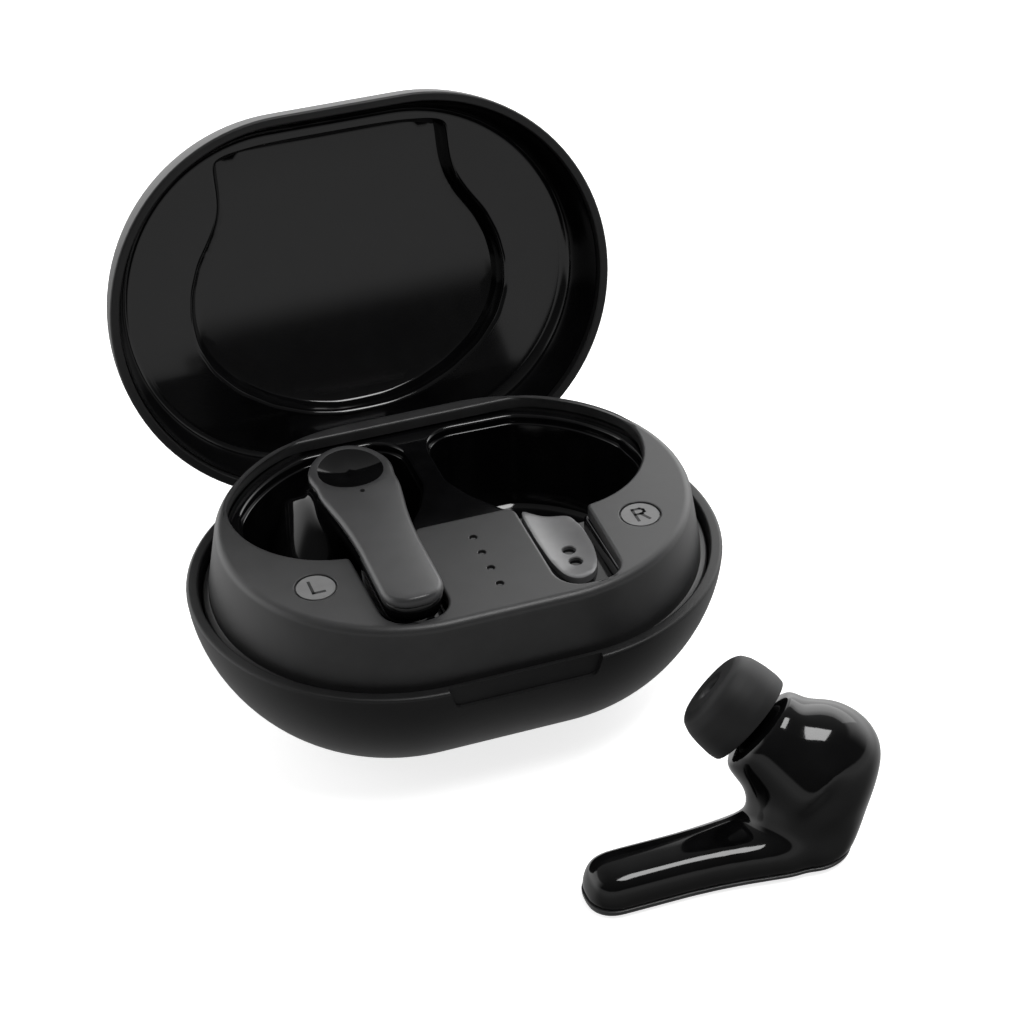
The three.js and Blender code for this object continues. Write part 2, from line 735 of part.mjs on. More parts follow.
for (const [label, side] of [["left", -1], ["right", 1]]) {
  add(product, "contact_carrier_" + label, "gloss", contactCarrier(side));
  const closing = post(side * CLOSING.x, CLOSING.y, CLOSING.radius, CLOSING.bottom, CLOSING.top);
  add(product, "closing_magnet_" + label, "steel", closing);
  const [x0, x1] = [side * SLOT.x - HOLDING.half, side * SLOT.x + HOLDING.half];
  const holding = block(x0, x1, HOLDING.front, HOLDING.back, UNDER_DECK, UNDER_DECK + HOLDING.height);
  add(product, "earbud_magnet_" + label, "steel", holding);
  const [markBottom, markTop] = [DECK.top - BADGE.depth + 0.05, DECK.top - 0.05];
  const mark = post(side * BADGE.x, BADGE.y, BADGE.radius, markBottom, markTop, 24);
  add(product, "side_mark_" + label, "mark", mark);
  ["front", "rear"].forEach((place, index) => {
    add(product, "contact_pin_" + label + "_" + place, "gold",
      post(side * SLOT.x, contactY(index), CONTACT.radius, 20.2, CONTACT.rest, 12));
  });
}
SCREW.places.forEach(([x, y], i) => {
  const head = post(x, y, SCREW.head, SCREW.bottom, SCREW.neck, 12);
  const shank = post(x, y, SCREW.shank, SCREW.neck, SCREW.top, 10);
  add(product, "deck_screw_" + (i + 1), "steel", joined(head, shank));
});
add(product, "hinge_bracket", "steel", hingeBracket());
add(product, "hinge_pin", "steel", hingeAxis(HINGE.pin, -HINGE.half, HINGE.half, 12));

const leftBud = earbud("left_earbud", -1);
leftBud.position.set(-SLOT.x, BUD.tip, BUD.face);
product.add(leftBud);

const rightBud = earbud("right_earbud", 1);
rightBud.quaternion.setFromAxisAngle(new THREE.Vector3(1, 1, 0).normalize(), Math.PI);
rightBud.position.set(LOOSE.x, LOOSE.y, 0);
product.add(rightBud);

const closedLid = new THREE.Group();
closedLid.position.set(0, -HINGE.y, -HINGE.z);
add(closedLid, "lid_shell", "shell", lidShell());
add(closedLid, "lid_liner", "gloss", lidLiner());
add(closedLid, "lid_hinge_arms", "steel", lidHingeArms());
for (const [label, side] of [["left", -1], ["right", 1]]) {
  const base = LINER.face + LINER.plate + GAP;
  const magnet = post(side * CLOSING.x, CLOSING.y, CLOSING.radius - 0.1, base, base + CLOSING.thick);
  add(closedLid, "lid_magnet_" + label, "steel", magnet);
}
const lid = new THREE.Group();
lid.position.set(0, HINGE.y, HINGE.z);
lid.rotation.x = THREE.MathUtils.degToRad(-HINGE.open);
lid.add(closedLid);
product.add(lid);

export default product;
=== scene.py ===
"""Visual model of a wireless earbuds case: a pebble case with an open lid, and its two earbuds.

One earbud sits in the case, and the other lies in front of it, outer face down.

Every piece is drawn in millimetres in the case's frame (+Z up, +Y to the hinge) and stored in metres.
The lid's pieces are drawn closed and turned back about the hinge. An earbud's pieces are drawn in the
earbud's own frame: tip of the stem at the origin, stem along +Y, outer face at z = 0, inner side below.
"""

import math

import bpy
import bmesh
import numpy as np
from mathutils import Matrix, Vector
from mathutils.geometry import delaunay_2d_cdt


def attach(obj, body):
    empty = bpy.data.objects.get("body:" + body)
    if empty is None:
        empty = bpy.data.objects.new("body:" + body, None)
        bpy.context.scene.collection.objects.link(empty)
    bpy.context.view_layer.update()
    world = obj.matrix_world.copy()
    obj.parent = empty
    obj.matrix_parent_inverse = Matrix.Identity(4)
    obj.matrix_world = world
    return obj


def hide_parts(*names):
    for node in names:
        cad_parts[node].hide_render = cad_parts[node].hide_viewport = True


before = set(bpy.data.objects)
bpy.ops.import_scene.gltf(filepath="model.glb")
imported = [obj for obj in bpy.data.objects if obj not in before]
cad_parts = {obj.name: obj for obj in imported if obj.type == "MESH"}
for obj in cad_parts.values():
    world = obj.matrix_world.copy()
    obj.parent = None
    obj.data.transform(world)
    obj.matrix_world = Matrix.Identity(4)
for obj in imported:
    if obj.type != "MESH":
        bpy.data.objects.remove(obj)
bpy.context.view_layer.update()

MM = 0.001

# ---- Dimensions, in millimetres ----
CASE = {"width": 62.0, "depth": 46.6, "wall": 1.4}
BOWL = {"rim": 17.5, "run": 14.6, "power": 1.75, "floor": 1.4}
LID = {"rim": 17.8, "height": 14.4, "run": 15.0, "power": 2.4, "wall": 1.1, "crown": 1.0}
HINGE = {"y": 22.1, "z": 13.7, "open": 106.4, "knuckle": 1.15, "half": 7.4, "split": 4.7}
DECK = {"top": 24.7, "plate": 1.4, "wall": 1.2, "foot": (56.8, 42.3), "crest": (54.6, 41.2), "shift": -0.15}
OPENING = {"x": 12.65, "y": 6.35, "radius": 11.85, "rim": 0.9}
SLOT = {"x": 9.85, "half": 3.8, "end": -19.0, "corner": 3.0}
TONGUE_Y = -2.9
SHELF_TOP = 23.0
WELL = {"x": 12.65, "y": 6.9, "radius": 10.4, "front": 12.0, "inner": 1.4, "floor": 10.4}
SUMP = {"x": 16.4, "y": 3.8, "radius": 6.8, "floor": 5.0}
SADDLE_FLOOR = 22.0
LED = {"y": -6.8, "pitch": -3.0, "count": 4, "radius": 0.45}
BADGE = {"x": 18.85, "y": -9.35, "radius": 2.15, "depth": 0.35}
LINER = {"face": 25.3, "floor": 28.2, "lip": 18.9}
POCKET = {
    "soft": 0.7, "tilt": 1.2, "wall": 1.1, "near": 1.3, "base": 1.5, "behind": 0.9, "bow": 0.9, "skin": 0.4,
}
BUD = {
    "face": 27.2, "tip": -18.5, "half": 3.5, "corner": 3.0, "skin": 1.1, "depth": 4.7,
    "disc": 4.9, "disc_y": 25.7, "pitch": 0.6,
}
DISH = {"radius": 3.75, "depth": 0.6}
THROAT = Vector((2.03, 26.85, -8.4))  # where the arm to the ear tip leaves the bulb
LEAN = Vector((0.535, -0.601, -0.594)).normalized()  # the arm's direction
CONTACT = {"first": 6.3, "pitch": 2.2, "radius": 0.72, "shift": 0.25, "hole": 0.75, "pin": 0.5}
LOOSE_Y = -41.3  # where the tip of the loose earbud lies
ARC = 56  # segments in each round end of a large outline


# ---- Outlines: arrays of (x, y), counter-clockwise seen from above ----
def arc(cx, cy, radius, start, end, steps):
    a = np.radians(np.linspace(start, end, steps + 1))
    return np.stack([cx + radius * np.cos(a), cy + radius * np.sin(a)], 1)


def line(a, b, steps):
    return np.linspace(a, b, steps + 1)


def stadium(width, depth, cx=0.0, cy=0.0, steps=ARC, straight=16):
    r = depth / 2
    half = width / 2 - r
    right = arc(cx + half, cy, r, -90, 90, steps)
    left = arc(cx - half, cy, r, 90, 270, steps)
    top = line(right[-1], left[0], straight)[1:-1]
    bottom = line(left[-1], right[0], straight)[1:-1]
    return np.concatenate([right, top, left, bottom])


def circle(cx, cy, radius, steps=48):
    return arc(cx, cy, radius, 0, 360, steps)[:-1]


def mirrored(points):
    return (points * (-1, 1))[::-1]


def resampled(points, step):
    """The closed outline with points at equal distances along it."""
    closed = np.vstack([points, points[:1]])
    lengths = np.hypot(*np.diff(closed, axis=0).T)
    at = np.concatenate([[0], np.cumsum(lengths)])
    wanted = np.linspace(0, at[-1], max(8, round(at[-1] / step)), endpoint=False)
    return np.stack([np.interp(wanted, at, closed[:, k]) for k in (0, 1)], 1)


def relaxed(points, rounds):
    """The closed outline with its corners eased by averaging neighbours."""
    for _ in range(rounds):
        points = points / 2 + (np.roll(points, 1, 0) + np.roll(points, -1, 0)) / 4
    return points


def offset(points, distance):
    """The closed outline moved outwards by distance, or inwards when it is negative."""
    along = np.roll(points, -1, 0) - np.roll(points, 1, 0)
    along /= np.maximum(np.hypot(*along.T), 1e-9)[:, None]
    return points + distance * np.stack([along[:, 1], -along[:, 0]], 1)


def eased_in(points, distance):
    """The closed outline moved inwards in small steps, with its corners eased at each."""
    steps = max(1, math.ceil(distance / 0.15))
    for _ in range(steps):
        points = relaxed(offset(points, -distance / steps), 2)
    return points


def inside(points, outline):
    """Which points lie inside the closed outline."""
    hit = np.zeros(len(points), bool)
    x, y = points[:, 0], points[:, 1]
    for (x0, y0), (x1, y1) in zip(outline, np.roll(outline, -1, 0)):
        if y0 != y1:
            crosses = (y0 > y) != (y1 > y)
            hit ^= crosses & (x < (x1 - x0) * (y - y0) / (y1 - y0) + x0)
    return hit


def smoothstep(x, low, high):
    t = np.clip((x - low) / (high - low), 0, 1)
    return t * t * (3 - 2 * t)


# ---- Mesh kit ----
class Sheet:
    """Collects loops, the bands between them and the faces across them, and makes one mesh of them."""

    def __init__(self):
        self.points, self.faces, self.marks = [], [], []

    def add(self, points, z):
        start = len(self.points)
        heights = np.broadcast_to(z, (len(points),))
        self.points += [(x, y, h) for (x, y), h in zip(points, heights)]
        return list(range(start, start + len(points)))

    def band(self, lower, upper, mark=0):
        n = len(lower)
        for i in range(n):
            j = (i + 1) % n
            self.faces.append((lower[i], lower[j], upper[j], upper[i]))
            self.marks.append(mark)

    def run(self, loops, mark=0):
        """Bands through a list of (outline, z). Returns the first and last loop's indices."""
        made = [self.add(points, z) for points, z in loops]
        for a, b in zip(made, made[1:]):
            self.band(a, b, mark)
        return made[0], made[-1]

    def cap(self, loop, mark=0):
        """One face across a loop that is already there."""
        self.faces.append(tuple(loop))
        self.marks.append(mark)

    def closed_run(self, loops):
        """A run with a face across each end."""
        for loop in self.run(loops):
            self.cap(loop)

    def face(self, outer, holes, z, spacing=None):
        """A level face between an outline and its holes. z may be a function of the points."""
        loops = [outer, *holes]
        flat = np.concatenate(loops)
        edges, first = [], 0
        for loop in loops:
            n = len(loop)
            edges += [(first + i, first + (i + 1) % n) for i in range(n)]
            first += n
        if spacing:
            low, high = outer.min(0), outer.max(0)
            gx, gy = np.meshgrid(np.arange(low[0], high[0], spacing), np.arange(low[1], high[1], spacing))
            grid = np.stack([gx.ravel(), gy.ravel()], 1)
            near = np.min(np.hypot(*(grid[:, None] - flat[None]).transpose(2, 0, 1)), axis=1)
            keep = inside(grid, outer) & (near > 0.6 * spacing)
            for hole in holes:
                keep &= ~inside(grid, hole)
            flat = np.concatenate([flat, grid[keep]])
        made = delaunay_2d_cdt([Vector(p) for p in flat], edges, [], 0, 1e-7)
        points = np.array([tuple(p) for p in made[0]])
        triangles = np.array([f for f in made[2] if len(f) == 3])
        centres = points[triangles].mean(1)
        keep = inside(centres, outer)
        for hole in holes:
            keep &= ~inside(centres, hole)
        start = self.add(points, z(points) if callable(z) else z)[0]
        for t in triangles[keep]:
            self.cap(int(start + k) for k in t)

    def fill(self, outline, z):
        self.cap(self.add(outline, z))

    def mesh(self, name, place=Matrix.Identity(4)):
        data = bpy.data.meshes.new(name)
        data.from_pydata([Vector(p) * MM for p in self.points], [], self.faces)
        data.polygons.foreach_set("material_index", self.marks)
        bm = bmesh.new()
        bm.from_mesh(data)
        bmesh.ops.remove_doubles(bm, verts=bm.verts, dist=2e-6)
        bmesh.ops.dissolve_degenerate(bm, edges=bm.edges, dist=1e-7)
        loose = [v for v in bm.verts if not v.link_faces]
        bmesh.ops.delete(bm, geom=loose, context="VERTS")
        bmesh.ops.recalc_face_normals(bm, faces=bm.faces)
        bm.to_mesh(data)
        bm.free()
        data.transform(place)
        obj = bpy.data.objects.new(name, data)
        bpy.context.scene.collection.objects.link(obj)
        return obj


def down_into(outline, radius, z, steps=5):
    """Loops of a rounded edge from a level face at z down into a hole with this outline."""
    turns = np.linspace(0, math.pi / 2, steps + 1)
    return [(offset(outline, radius * (1 - math.sin(a))), z - radius * (1 - math.cos(a))) for a in turns]


def down_to_floor(outline, radius, z, steps=6):
    """Loops of a rounded corner from a hole's wall to its floor at z."""
    turns = np.linspace(0, math.pi / 2, steps + 1)
    return [(offset(outline, -radius * (1 - math.cos(a))), z + radius * (1 - math.sin(a))) for a in turns]


def finish_piece(obj, body, materials, replaces=(), angle=35, weighted=True):
    for polygon in obj.data.polygons:
        polygon.use_smooth = True
    for material in materials:
        obj.data.materials.append(material)
    obj.data.set_sharp_from_angle(angle=math.radians(angle))
    if weighted:
        modifier = obj.modifiers.new("even_normals", "WEIGHTED_NORMAL")
        modifier.keep_sharp = True
        modifier.weight = 90
    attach(obj, body)
    if replaces:
        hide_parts(*replaces)
    return obj


def cut_away(obj, tool):
    """Subtracts a tool's solid from a piece, and removes the tool."""
    modifier = obj.modifiers.new("cut", "BOOLEAN")
    modifier.operation, modifier.solver, modifier.object = "DIFFERENCE", "EXACT", tool
    apply_modifiers(obj)
    bpy.data.objects.remove(tool)


def apply_modifiers(obj):
    bpy.context.view_layer.update()
    graph = bpy.context.evaluated_depsgraph_get()
    made = bpy.data.meshes.new_from_object(obj.evaluated_get(graph))
    obj.modifiers.clear()
    obj.data = made


def prism(name, outline, z0, z1, edge=0.0, place=Matrix.Identity(4)):
    """A solid between two levels, with its upper and lower edges rounded."""
    turns = np.linspace(0, math.pi / 2, 5)
    if edge:
        low = [(offset(outline, -edge * (1 - math.sin(a))), z0 + edge * (1 - math.cos(a))) for a in turns]
        high = [(offset(outline, -edge * (1 - math.cos(a))), z1 - edge * (1 - math.sin(a))) for a in turns]
    else:
        low, high = [(outline, z0)], [(outline, z1)]
    sheet = Sheet()
    sheet.closed_run(low + high)
    return sheet.mesh(name, place)


def block(name, low, high, place=Matrix.Identity(4)):
    (x0, y0, z0), (x1, y1, z1) = low, high
    outline = np.array([(x0, y0), (x1, y0), (x1, y1), (x0, y1)], float)
    return prism(name, outline, z0, z1, 0.0, place)


# ---- Materials ----
def moulded(name, colour, roughness, grain=0.0, grain_size=0.00012, specular=0.5, metal=0.0, mottle=0.12,
            swirl=0.003):
    """Moulded plastic or metal: slight colour and roughness variation, and a fine surface grain."""
    material = bpy.data.materials.new(name)
    material.use_nodes = True
    nodes, links = material.node_tree.nodes, material.node_tree.links
    shader = nodes["Principled BSDF"]
    where = nodes.new("ShaderNodeTexCoord")
    cloud = nodes.new("ShaderNodeTexNoise")
    cloud.inputs["Scale"].default_value = 1 / swirl
    cloud.inputs["Detail"].default_value = 3
    links.new(where.outputs["Object"], cloud.inputs["Vector"])
    ramp = nodes.new("ShaderNodeValToRGB")
    ramp.color_ramp.elements[0].position, ramp.color_ramp.elements[1].position = 0.3, 0.7
    ramp.color_ramp.elements[0].color = (*[c * (1 - mottle) for c in colour], 1)
    ramp.color_ramp.elements[1].color = (*[c * (1 + mottle) for c in colour], 1)
    links.new(cloud.outputs["Fac"], ramp.inputs["Fac"])
    links.new(ramp.outputs["Color"], shader.inputs["Base Color"])
    spread = nodes.new("ShaderNodeMapRange")
    spread.inputs["To Min"].default_value = roughness * 0.93
    spread.inputs["To Max"].default_value = roughness * 1.07
    links.new(cloud.outputs["Fac"], spread.inputs["Value"])
    links.new(spread.outputs["Result"], shader.inputs["Roughness"])
    if grain:
        fine = nodes.new("ShaderNodeTexNoise")
        fine.inputs["Scale"].default_value = 1 / grain_size
        fine.inputs["Detail"].default_value = 2
        links.new(where.outputs["Object"], fine.inputs["Vector"])
        bump = nodes.new("ShaderNodeBump")
        bump.inputs["Strength"].default_value = grain
        bump.inputs["Distance"].default_value = 0.00002
        links.new(fine.outputs["Fac"], bump.inputs["Height"])
        links.new(bump.outputs["Normal"], shader.inputs["Normal"])
    shader.inputs["Specular IOR Level"].default_value = specular
    shader.inputs["Metallic"].default_value = metal
    return material


MATTE = moulded("case_matte", (0.009, 0.009, 0.0093), 0.44, grain=0.35, specular=0.35)
SATIN = moulded("deck_satin", (0.026, 0.026, 0.0265), 0.42, grain=0.3, specular=0.5)
GLOSS = moulded("liner_gloss", (0.003, 0.003, 0.0033), 0.1, specular=0.42, mottle=0.3)
BUD_GLOSS = moulded("earbud_gloss", (0.003, 0.003, 0.0032), 0.08, specular=0.34, mottle=0.3)
BUD_SATIN = moulded("earbud_satin", (0.035, 0.035, 0.036), 0.36, grain=0.2, specular=0.5)
PLATE = moulded("contact_plate", (0.13, 0.13, 0.132), 0.3, specular=0.6)
RUBBER = moulded("silicone", (0.009, 0.009, 0.0095), 0.58, grain=0.25, grain_size=0.0002, specular=0.35)
MARK = moulded("mark_plastic", (0.16, 0.16, 0.16), 0.5, grain=0.3)
INK = moulded("mark_groove", (0.008, 0.008, 0.008), 0.6, grain=0.2)
DARK_METAL = moulded("contact_metal", (0.012, 0.012, 0.012), 0.4, metal=0.3)
STEEL = moulded("steel", (0.45, 0.45, 0.46), 0.32, metal=1.0, grain=0.2)
BOARD = moulded("circuit_board", (0.01, 0.06, 0.02), 0.45, grain=0.3, mottle=0.3, swirl=0.0015)
FOIL = moulded("cell_wrap", (0.5, 0.5, 0.52), 0.35, metal=0.7, mottle=0.1)
SMOKE = moulded("smoked_plastic", (0.012, 0.012, 0.013), 0.2, specular=0.5)
HINGE_PLASTIC = moulded("hinge_plastic", (0.012, 0.012, 0.0125), 0.4, grain=0.3)


# ---- Shell profiles ----
def quarter(power, steps):
    """Insets and heights of a quarter superellipse: 0 at the rim, 1 at the crown."""
    t = np.linspace(0, math.pi / 2, steps + 1)
    return list(zip(1 - np.maximum(0, np.cos(t)) ** (2 / power), np.sin(t) ** (2 / power)))


def case_outline(inset):
    return stadium(CASE["width"] - 2 * inset, CASE["depth"] - 2 * inset)


def on_lid():
    """Turns a piece drawn on the closed lid back to the open rest pose."""
    hinge = Vector((0, HINGE["y"], HINGE["z"])) * MM
    turn = Matrix.Rotation(math.radians(-HINGE["open"]), 4, "X")
    return Matrix.Translation(hinge) @ turn @ Matrix.Translation(-hinge)


# ---- Lower shell ----
def lower_shell():
    sheet = Sheet()
    edge, inner_edge, rim, wall = 0.4, 0.25, BOWL["rim"], CASE["wall"]
    outside = [(case_outline(BOWL["run"] * i), rim * (1 - h)) for i, h in quarter(BOWL["power"], 40)]
    outside = [(p, min(z, rim - edge)) for p, z in outside if z < rim - edge - 0.2 or z == rim]
    lip = [(case_outline(edge * (1 - math.cos(a))), rim - edge * (1 - math.sin(a)))
           for a in np.linspace(0, math.pi / 2, 6)]
    inner_lip = [(case_outline(wall - inner_edge * (1 - math.sin(a))), rim - inner_edge * (1 - math.cos(a)))
                 for a in np.linspace(0, math.pi / 2, 5)]
    inner = [(case_outline(wall + BOWL["run"] * i), rim - (rim - BOWL["floor"]) * h)
             for i, h in quarter(BOWL["power"], 20)][3:]
    sheet.closed_run(outside[::-1] + lip[1:] + inner_lip + inner)
    shell = sheet.mesh("lower_shell_skin")
    notch = np.array([(-7.6, 14.9), (8.4, 14.9), (9.6, 19.0), (-8.8, 19.0)])
    notch = relaxed(resampled(notch, 0.25), 6)
    upright = Matrix.Rotation(math.radians(90), 4, "X")
    cut_away(shell, prism("notch_tool", notch, 22.55, 27, 0.0, upright))
    hinge = relaxed(resampled(np.array([(-8, 12.2), (8, 12.2), (8, 19.0), (-8, 19.0)], float), 0.25), 4)
    cut_away(shell, prism("hinge_tool", hinge, -26, -19.5, 0.0, upright))
    port = stadium(9.4, 3.7, 0, 6.6, 20, 6)
    cut_away(shell, prism("port_tool", port, -24, -14, 0.0, upright))
    return finish_piece(shell, "case", [MATTE], ["lower_shell"], angle=40)


# ---- Deck ----
def deck_outline(size, inset, shift=0.0):
    return stadium(size[0] - 2 * inset, size[1] - 2 * inset, 0, shift)


def round_end(angle):
    """Reach of the deck opening from the centre of its round end, kept a rim away from the deck's edge."""
    a = np.radians(angle)
    half = (DECK["crest"][0] - DECK["crest"][1]) / 2
    radius = DECK["crest"][1] / 2 - OPENING["rim"]
    px, py = OPENING["x"] - half, OPENING["y"] - DECK["shift"]
    b = px * np.cos(a) + py * np.sin(a)
    reach = -b + np.sqrt(b * b + radius * radius - px * px - py * py)
    soft = 0.25
    low, high = np.minimum(reach, OPENING["radius"]), np.maximum(reach, OPENING["radius"])
    return low - soft * np.exp(-(high - low) / soft) * 0.7


def opening_outline():
    """The deck opening with both stem slots and the tongue between them."""
    angles = np.linspace(-84, 90, 70)
    reach = round_end(angles)
    a = np.radians(angles)
    bulge = np.stack([OPENING["x"] + reach * np.cos(a), OPENING["y"] + reach * np.sin(a)], 1)
    x0, x1, c = SLOT["x"] - SLOT["half"], SLOT["x"] + SLOT["half"], SLOT["corner"]
    slot = np.concatenate([
        [(0, TONGUE_Y), (5.4, TONGUE_Y), (x0, TONGUE_Y - 0.8)],
        arc(x0 + c, SLOT["end"] + c, c, 180, 270, 12),
        arc(x1 - c, SLOT["end"] + c, c, 270, 360, 12),
    ])
    right = np.concatenate([slot, bulge, [(0, bulge[-1][1])]])
    whole = np.concatenate([right, mirrored(right)[1:-1]])
    return relaxed(resampled(whole, 0.3), 3)


def deck():
    sheet = Sheet()
    foot, crest, shift, top = DECK["foot"], DECK["crest"], DECK["shift"], DECK["top"]
    flange = (foot[0] + 1.6, foot[1] + 0.7)
    edge, skirt, shoulder = 0.95, 13.6, 17.5
    outside = [
        (deck_outline(foot, 0.2), skirt), (deck_outline(foot, 0.2), 15.1), (deck_outline(flange, 0.1), 15.3),
        (deck_outline(flange, 0), 15.5), (deck_outline(flange, 0), 16.15), (deck_outline(flange, 0.15), 16.3),
        (deck_outline(foot, -0.25), 16.3), (deck_outline(foot, -0.07), 16.37), (deck_outline(foot, 0), 16.55),
    ]
    for k in np.linspace(0, 1, 14):
        size = [foot[i] + (crest[i] - foot[i]) * k for i in (0, 1)]
        outside.append((deck_outline(size, 0, shift * k), shoulder + (top - edge - shoulder) * k))
    for a in np.linspace(0, math.pi / 2, 9)[1:]:
        outside.append((deck_outline(crest, edge * (1 - math.cos(a)), shift), top - edge * (1 - math.sin(a))))
    support = 0.12
    outside.append((deck_outline(crest, edge + support, shift), top))
    hole = opening_outline()
    plate = top - DECK["plate"]
    sheet.run(outside)
    sheet.run([(offset(hole, 0.3 + support), top), *down_into(hole, 0.3, top, 4), (hole, plate)])
    holes = [offset(hole, 0.3 + support)]
    for i in range(LED["count"]):
        dot = circle(0, LED["y"] + i * LED["pitch"], LED["radius"], 20)
        sheet.run([(offset(dot, 0.14), top), *down_into(dot, 0.08, top, 3), (dot, plate)])
        holes.append(offset(dot, 0.14))
    recess = top - BADGE["depth"]
    for side in (-1, 1):
        disc = circle(side * BADGE["x"], BADGE["y"], BADGE["radius"] + 0.2, 56)
        sheet.run([(offset(disc, 0.16), top), *down_into(disc, 0.1, top, 3), (disc, recess)])
        sheet.face(disc, [], recess)
        holes.append(offset(disc, 0.16))
    sheet.face(deck_outline(crest, edge + support, shift), holes, top, spacing=1.2)
    inner_top = deck_outline(crest, DECK["wall"], shift)
    below = [hole] + [circle(0, LED["y"] + i * LED["pitch"], LED["radius"], 20) for i in range(LED["count"])]
    sheet.face(inner_top, below, plate)
    inner_foot = deck_outline(foot, DECK["wall"] + 0.2)
    sheet.run([
        (inner_top, plate), (inner_foot, shoulder), (inner_foot, skirt), (deck_outline(foot, 0.2), skirt),
    ])
    body = sheet.mesh("deck_skin")
    cut_away(body, block("relief_tool", (-8.2, 19.2, 11), (8.2, 24, 22.9)))
    return finish_piece(body, "case", [SATIN], ["deck"], angle=40)


# ---- Cradle tray ----
def well_outline():
    """The right-hand well."""
    angles = np.linspace(-90, 90, 60)
    reach = WELL["radius"] + (WELL["front"] - WELL["radius"]) * smoothstep(-angles, -5, 30)
    a = np.radians(angles)
    outer = np.stack([WELL["x"] + reach * np.cos(a), WELL["y"] + reach * np.sin(a)], 1)
    back, corner = WELL["y"] + WELL["radius"], 3.8
    inner = arc(WELL["inner"] + corner, back - corner, corner, 90, 180, 12)
    points = np.concatenate([outer, inner, [(WELL["inner"], 7.2), (3.0, 3.4), (6.4, -1.4)]])
    limit = DECK["crest"][1] / 2 - DECK["wall"] - 1.2
    half = (DECK["crest"][0] - DECK["crest"][1]) / 2
    over = np.stack([np.maximum(points[:, 0] - half, 0), points[:, 1] - DECK["shift"]], 1)
    far = np.hypot(*over.T)
    scale = np.where(far > limit, limit / far, 1.0)
    points = np.stack([points[:, 0] + over[:, 0] * (scale - 1), points[:, 1] + over[:, 1] * (scale - 1)], 1)
    return relaxed(resampled(points, 0.3), 5)


def well_and_slot():
    """The right-hand well joined with its stem slot."""
    x0, x1, c = SLOT["x"] - SLOT["half"], SLOT["x"] + SLOT["half"], SLOT["corner"]
    slot = np.concatenate([
        arc(x0 + c, SLOT["end"] + c, c, 180, 270, 12),
        arc(x1 - c, SLOT["end"] + c, c, 270, 360, 12),
    ])
    well = offset(well_outline(), 0.05)
    start = int(np.argmin(np.hypot(well[:, 0] - x1, well[:, 1] + 5.0)))
    well = np.roll(well, -start, 0)
    stop = int(np.argmin(np.hypot(well[:, 0] - 6.2, well[:, 1] + 1.2)))
    rest = well[: stop + 1]
    rest = rest[(rest[:, 0] < x1 + 0.2) | (rest[:, 1] > -5.2)]
    points = np.concatenate([slot, rest, [(x0, rest[-1][1] - 0.6)]])
    return relaxed(resampled(points, 0.3), 3)


def cradle_tray():
    """The shelf under the deck with two deep wells and their stem troughs."""
    sheet = Sheet()
    rim = deck_outline(DECK["crest"], DECK["wall"] + 0.3, DECK["shift"])
    top, drop, skin = SHELF_TOP, SADDLE_FLOOR, 0.7
    well_floor, sump_floor = WELL["floor"], SUMP["floor"]
    round_floor, sump_inset = 2.2, 1.6
    outer_holes, lower_holes = [], []
    for side in (1, -1):
        well, hole = well_outline(), well_and_slot()
        sump = circle(SUMP["x"], SUMP["y"], SUMP["radius"], 56)
        if side < 0:
            well, hole, sump = mirrored(well), mirrored(hole), mirrored(sump)
        sheet.run([(offset(hole, 0.5), top), *down_into(hole, 0.35, top), (hole, drop)])
        outer_holes.append(offset(hole, 0.5))
        edge = offset(well, -0.25)
        mouth = offset(edge, 0.22)
        sheet.face(hole, [mouth], drop, spacing=1.0)
        rounded = down_to_floor(edge, round_floor, well_floor)
        sheet.run([(mouth, drop), *down_into(edge, 0.2, drop, 4), *rounded])
        floor = offset(edge, -round_floor)
        pit = clipped_inside(offset(sump, -sump_inset), offset(floor, -0.2))
        sheet.face(floor, [pit], well_floor)
        deep = offset(pit, -0.8)
        sheet.run([(pit, well_floor), (offset(pit, -0.15), well_floor - 0.3), (deep, sump_floor + 1.5),
                   (offset(deep, -0.6), sump_floor + 0.5), (offset(deep, -sump_inset), sump_floor)])
        sheet.face(offset(deep, -sump_inset), [], sump_floor)
        # the underside follows at a wall's distance
        under, pit_under, sump_under = offset(hole, skin), offset(pit, 0.1), sump_floor - skin + 0.2
        sheet.run([(under, top - skin), (under, drop - skin)])
        sheet.face(under, [edge], drop - skin)
        sheet.run([(edge, drop - skin), (edge, drop - skin - 0.05)])
        lower_holes.append(under)
        sheet.run([(edge, drop - skin - 0.05), (offset(edge, 0.3), well_floor + round_floor),
                   (offset(edge, -1.6), well_floor - skin)])
        sheet.face(offset(edge, -1.6), [pit_under], well_floor - skin)
        lowest = offset(deep, -0.8)
        sheet.run([(pit_under, well_floor - skin), (deep, sump_floor + 1.0), (lowest, sump_under)])
        sheet.face(lowest, [], sump_under)
    sheet.face(rim, outer_holes, top, spacing=1.5)
    sheet.face(rim, lower_holes, top - skin)
    sheet.run([(rim, top), (rim, top - skin)])
    tray = sheet.mesh("cradle_tray_skin")
    return finish_piece(tray, "case", [GLOSS], ["cradle_tray"], angle=40)


def clipped_inside(outline, limit):
    """The outline pulled inside another one around the limit's centre."""
    centre = (outline.mean(0) + limit.mean(0)) / 2
    made = []
    for p in outline:
        d = p - centre
        reach = 1.0
        while reach > 0.2 and not inside(np.array([centre + d * reach]), limit)[0]:
            reach -= 0.02
        made.append(centre + d * reach)
    return relaxed(np.array(made), 4)


# ---- Contact carriers and side marks ----
def contact_y(index):
    return BUD["tip"] + CONTACT["first"] + index * CONTACT["pitch"]


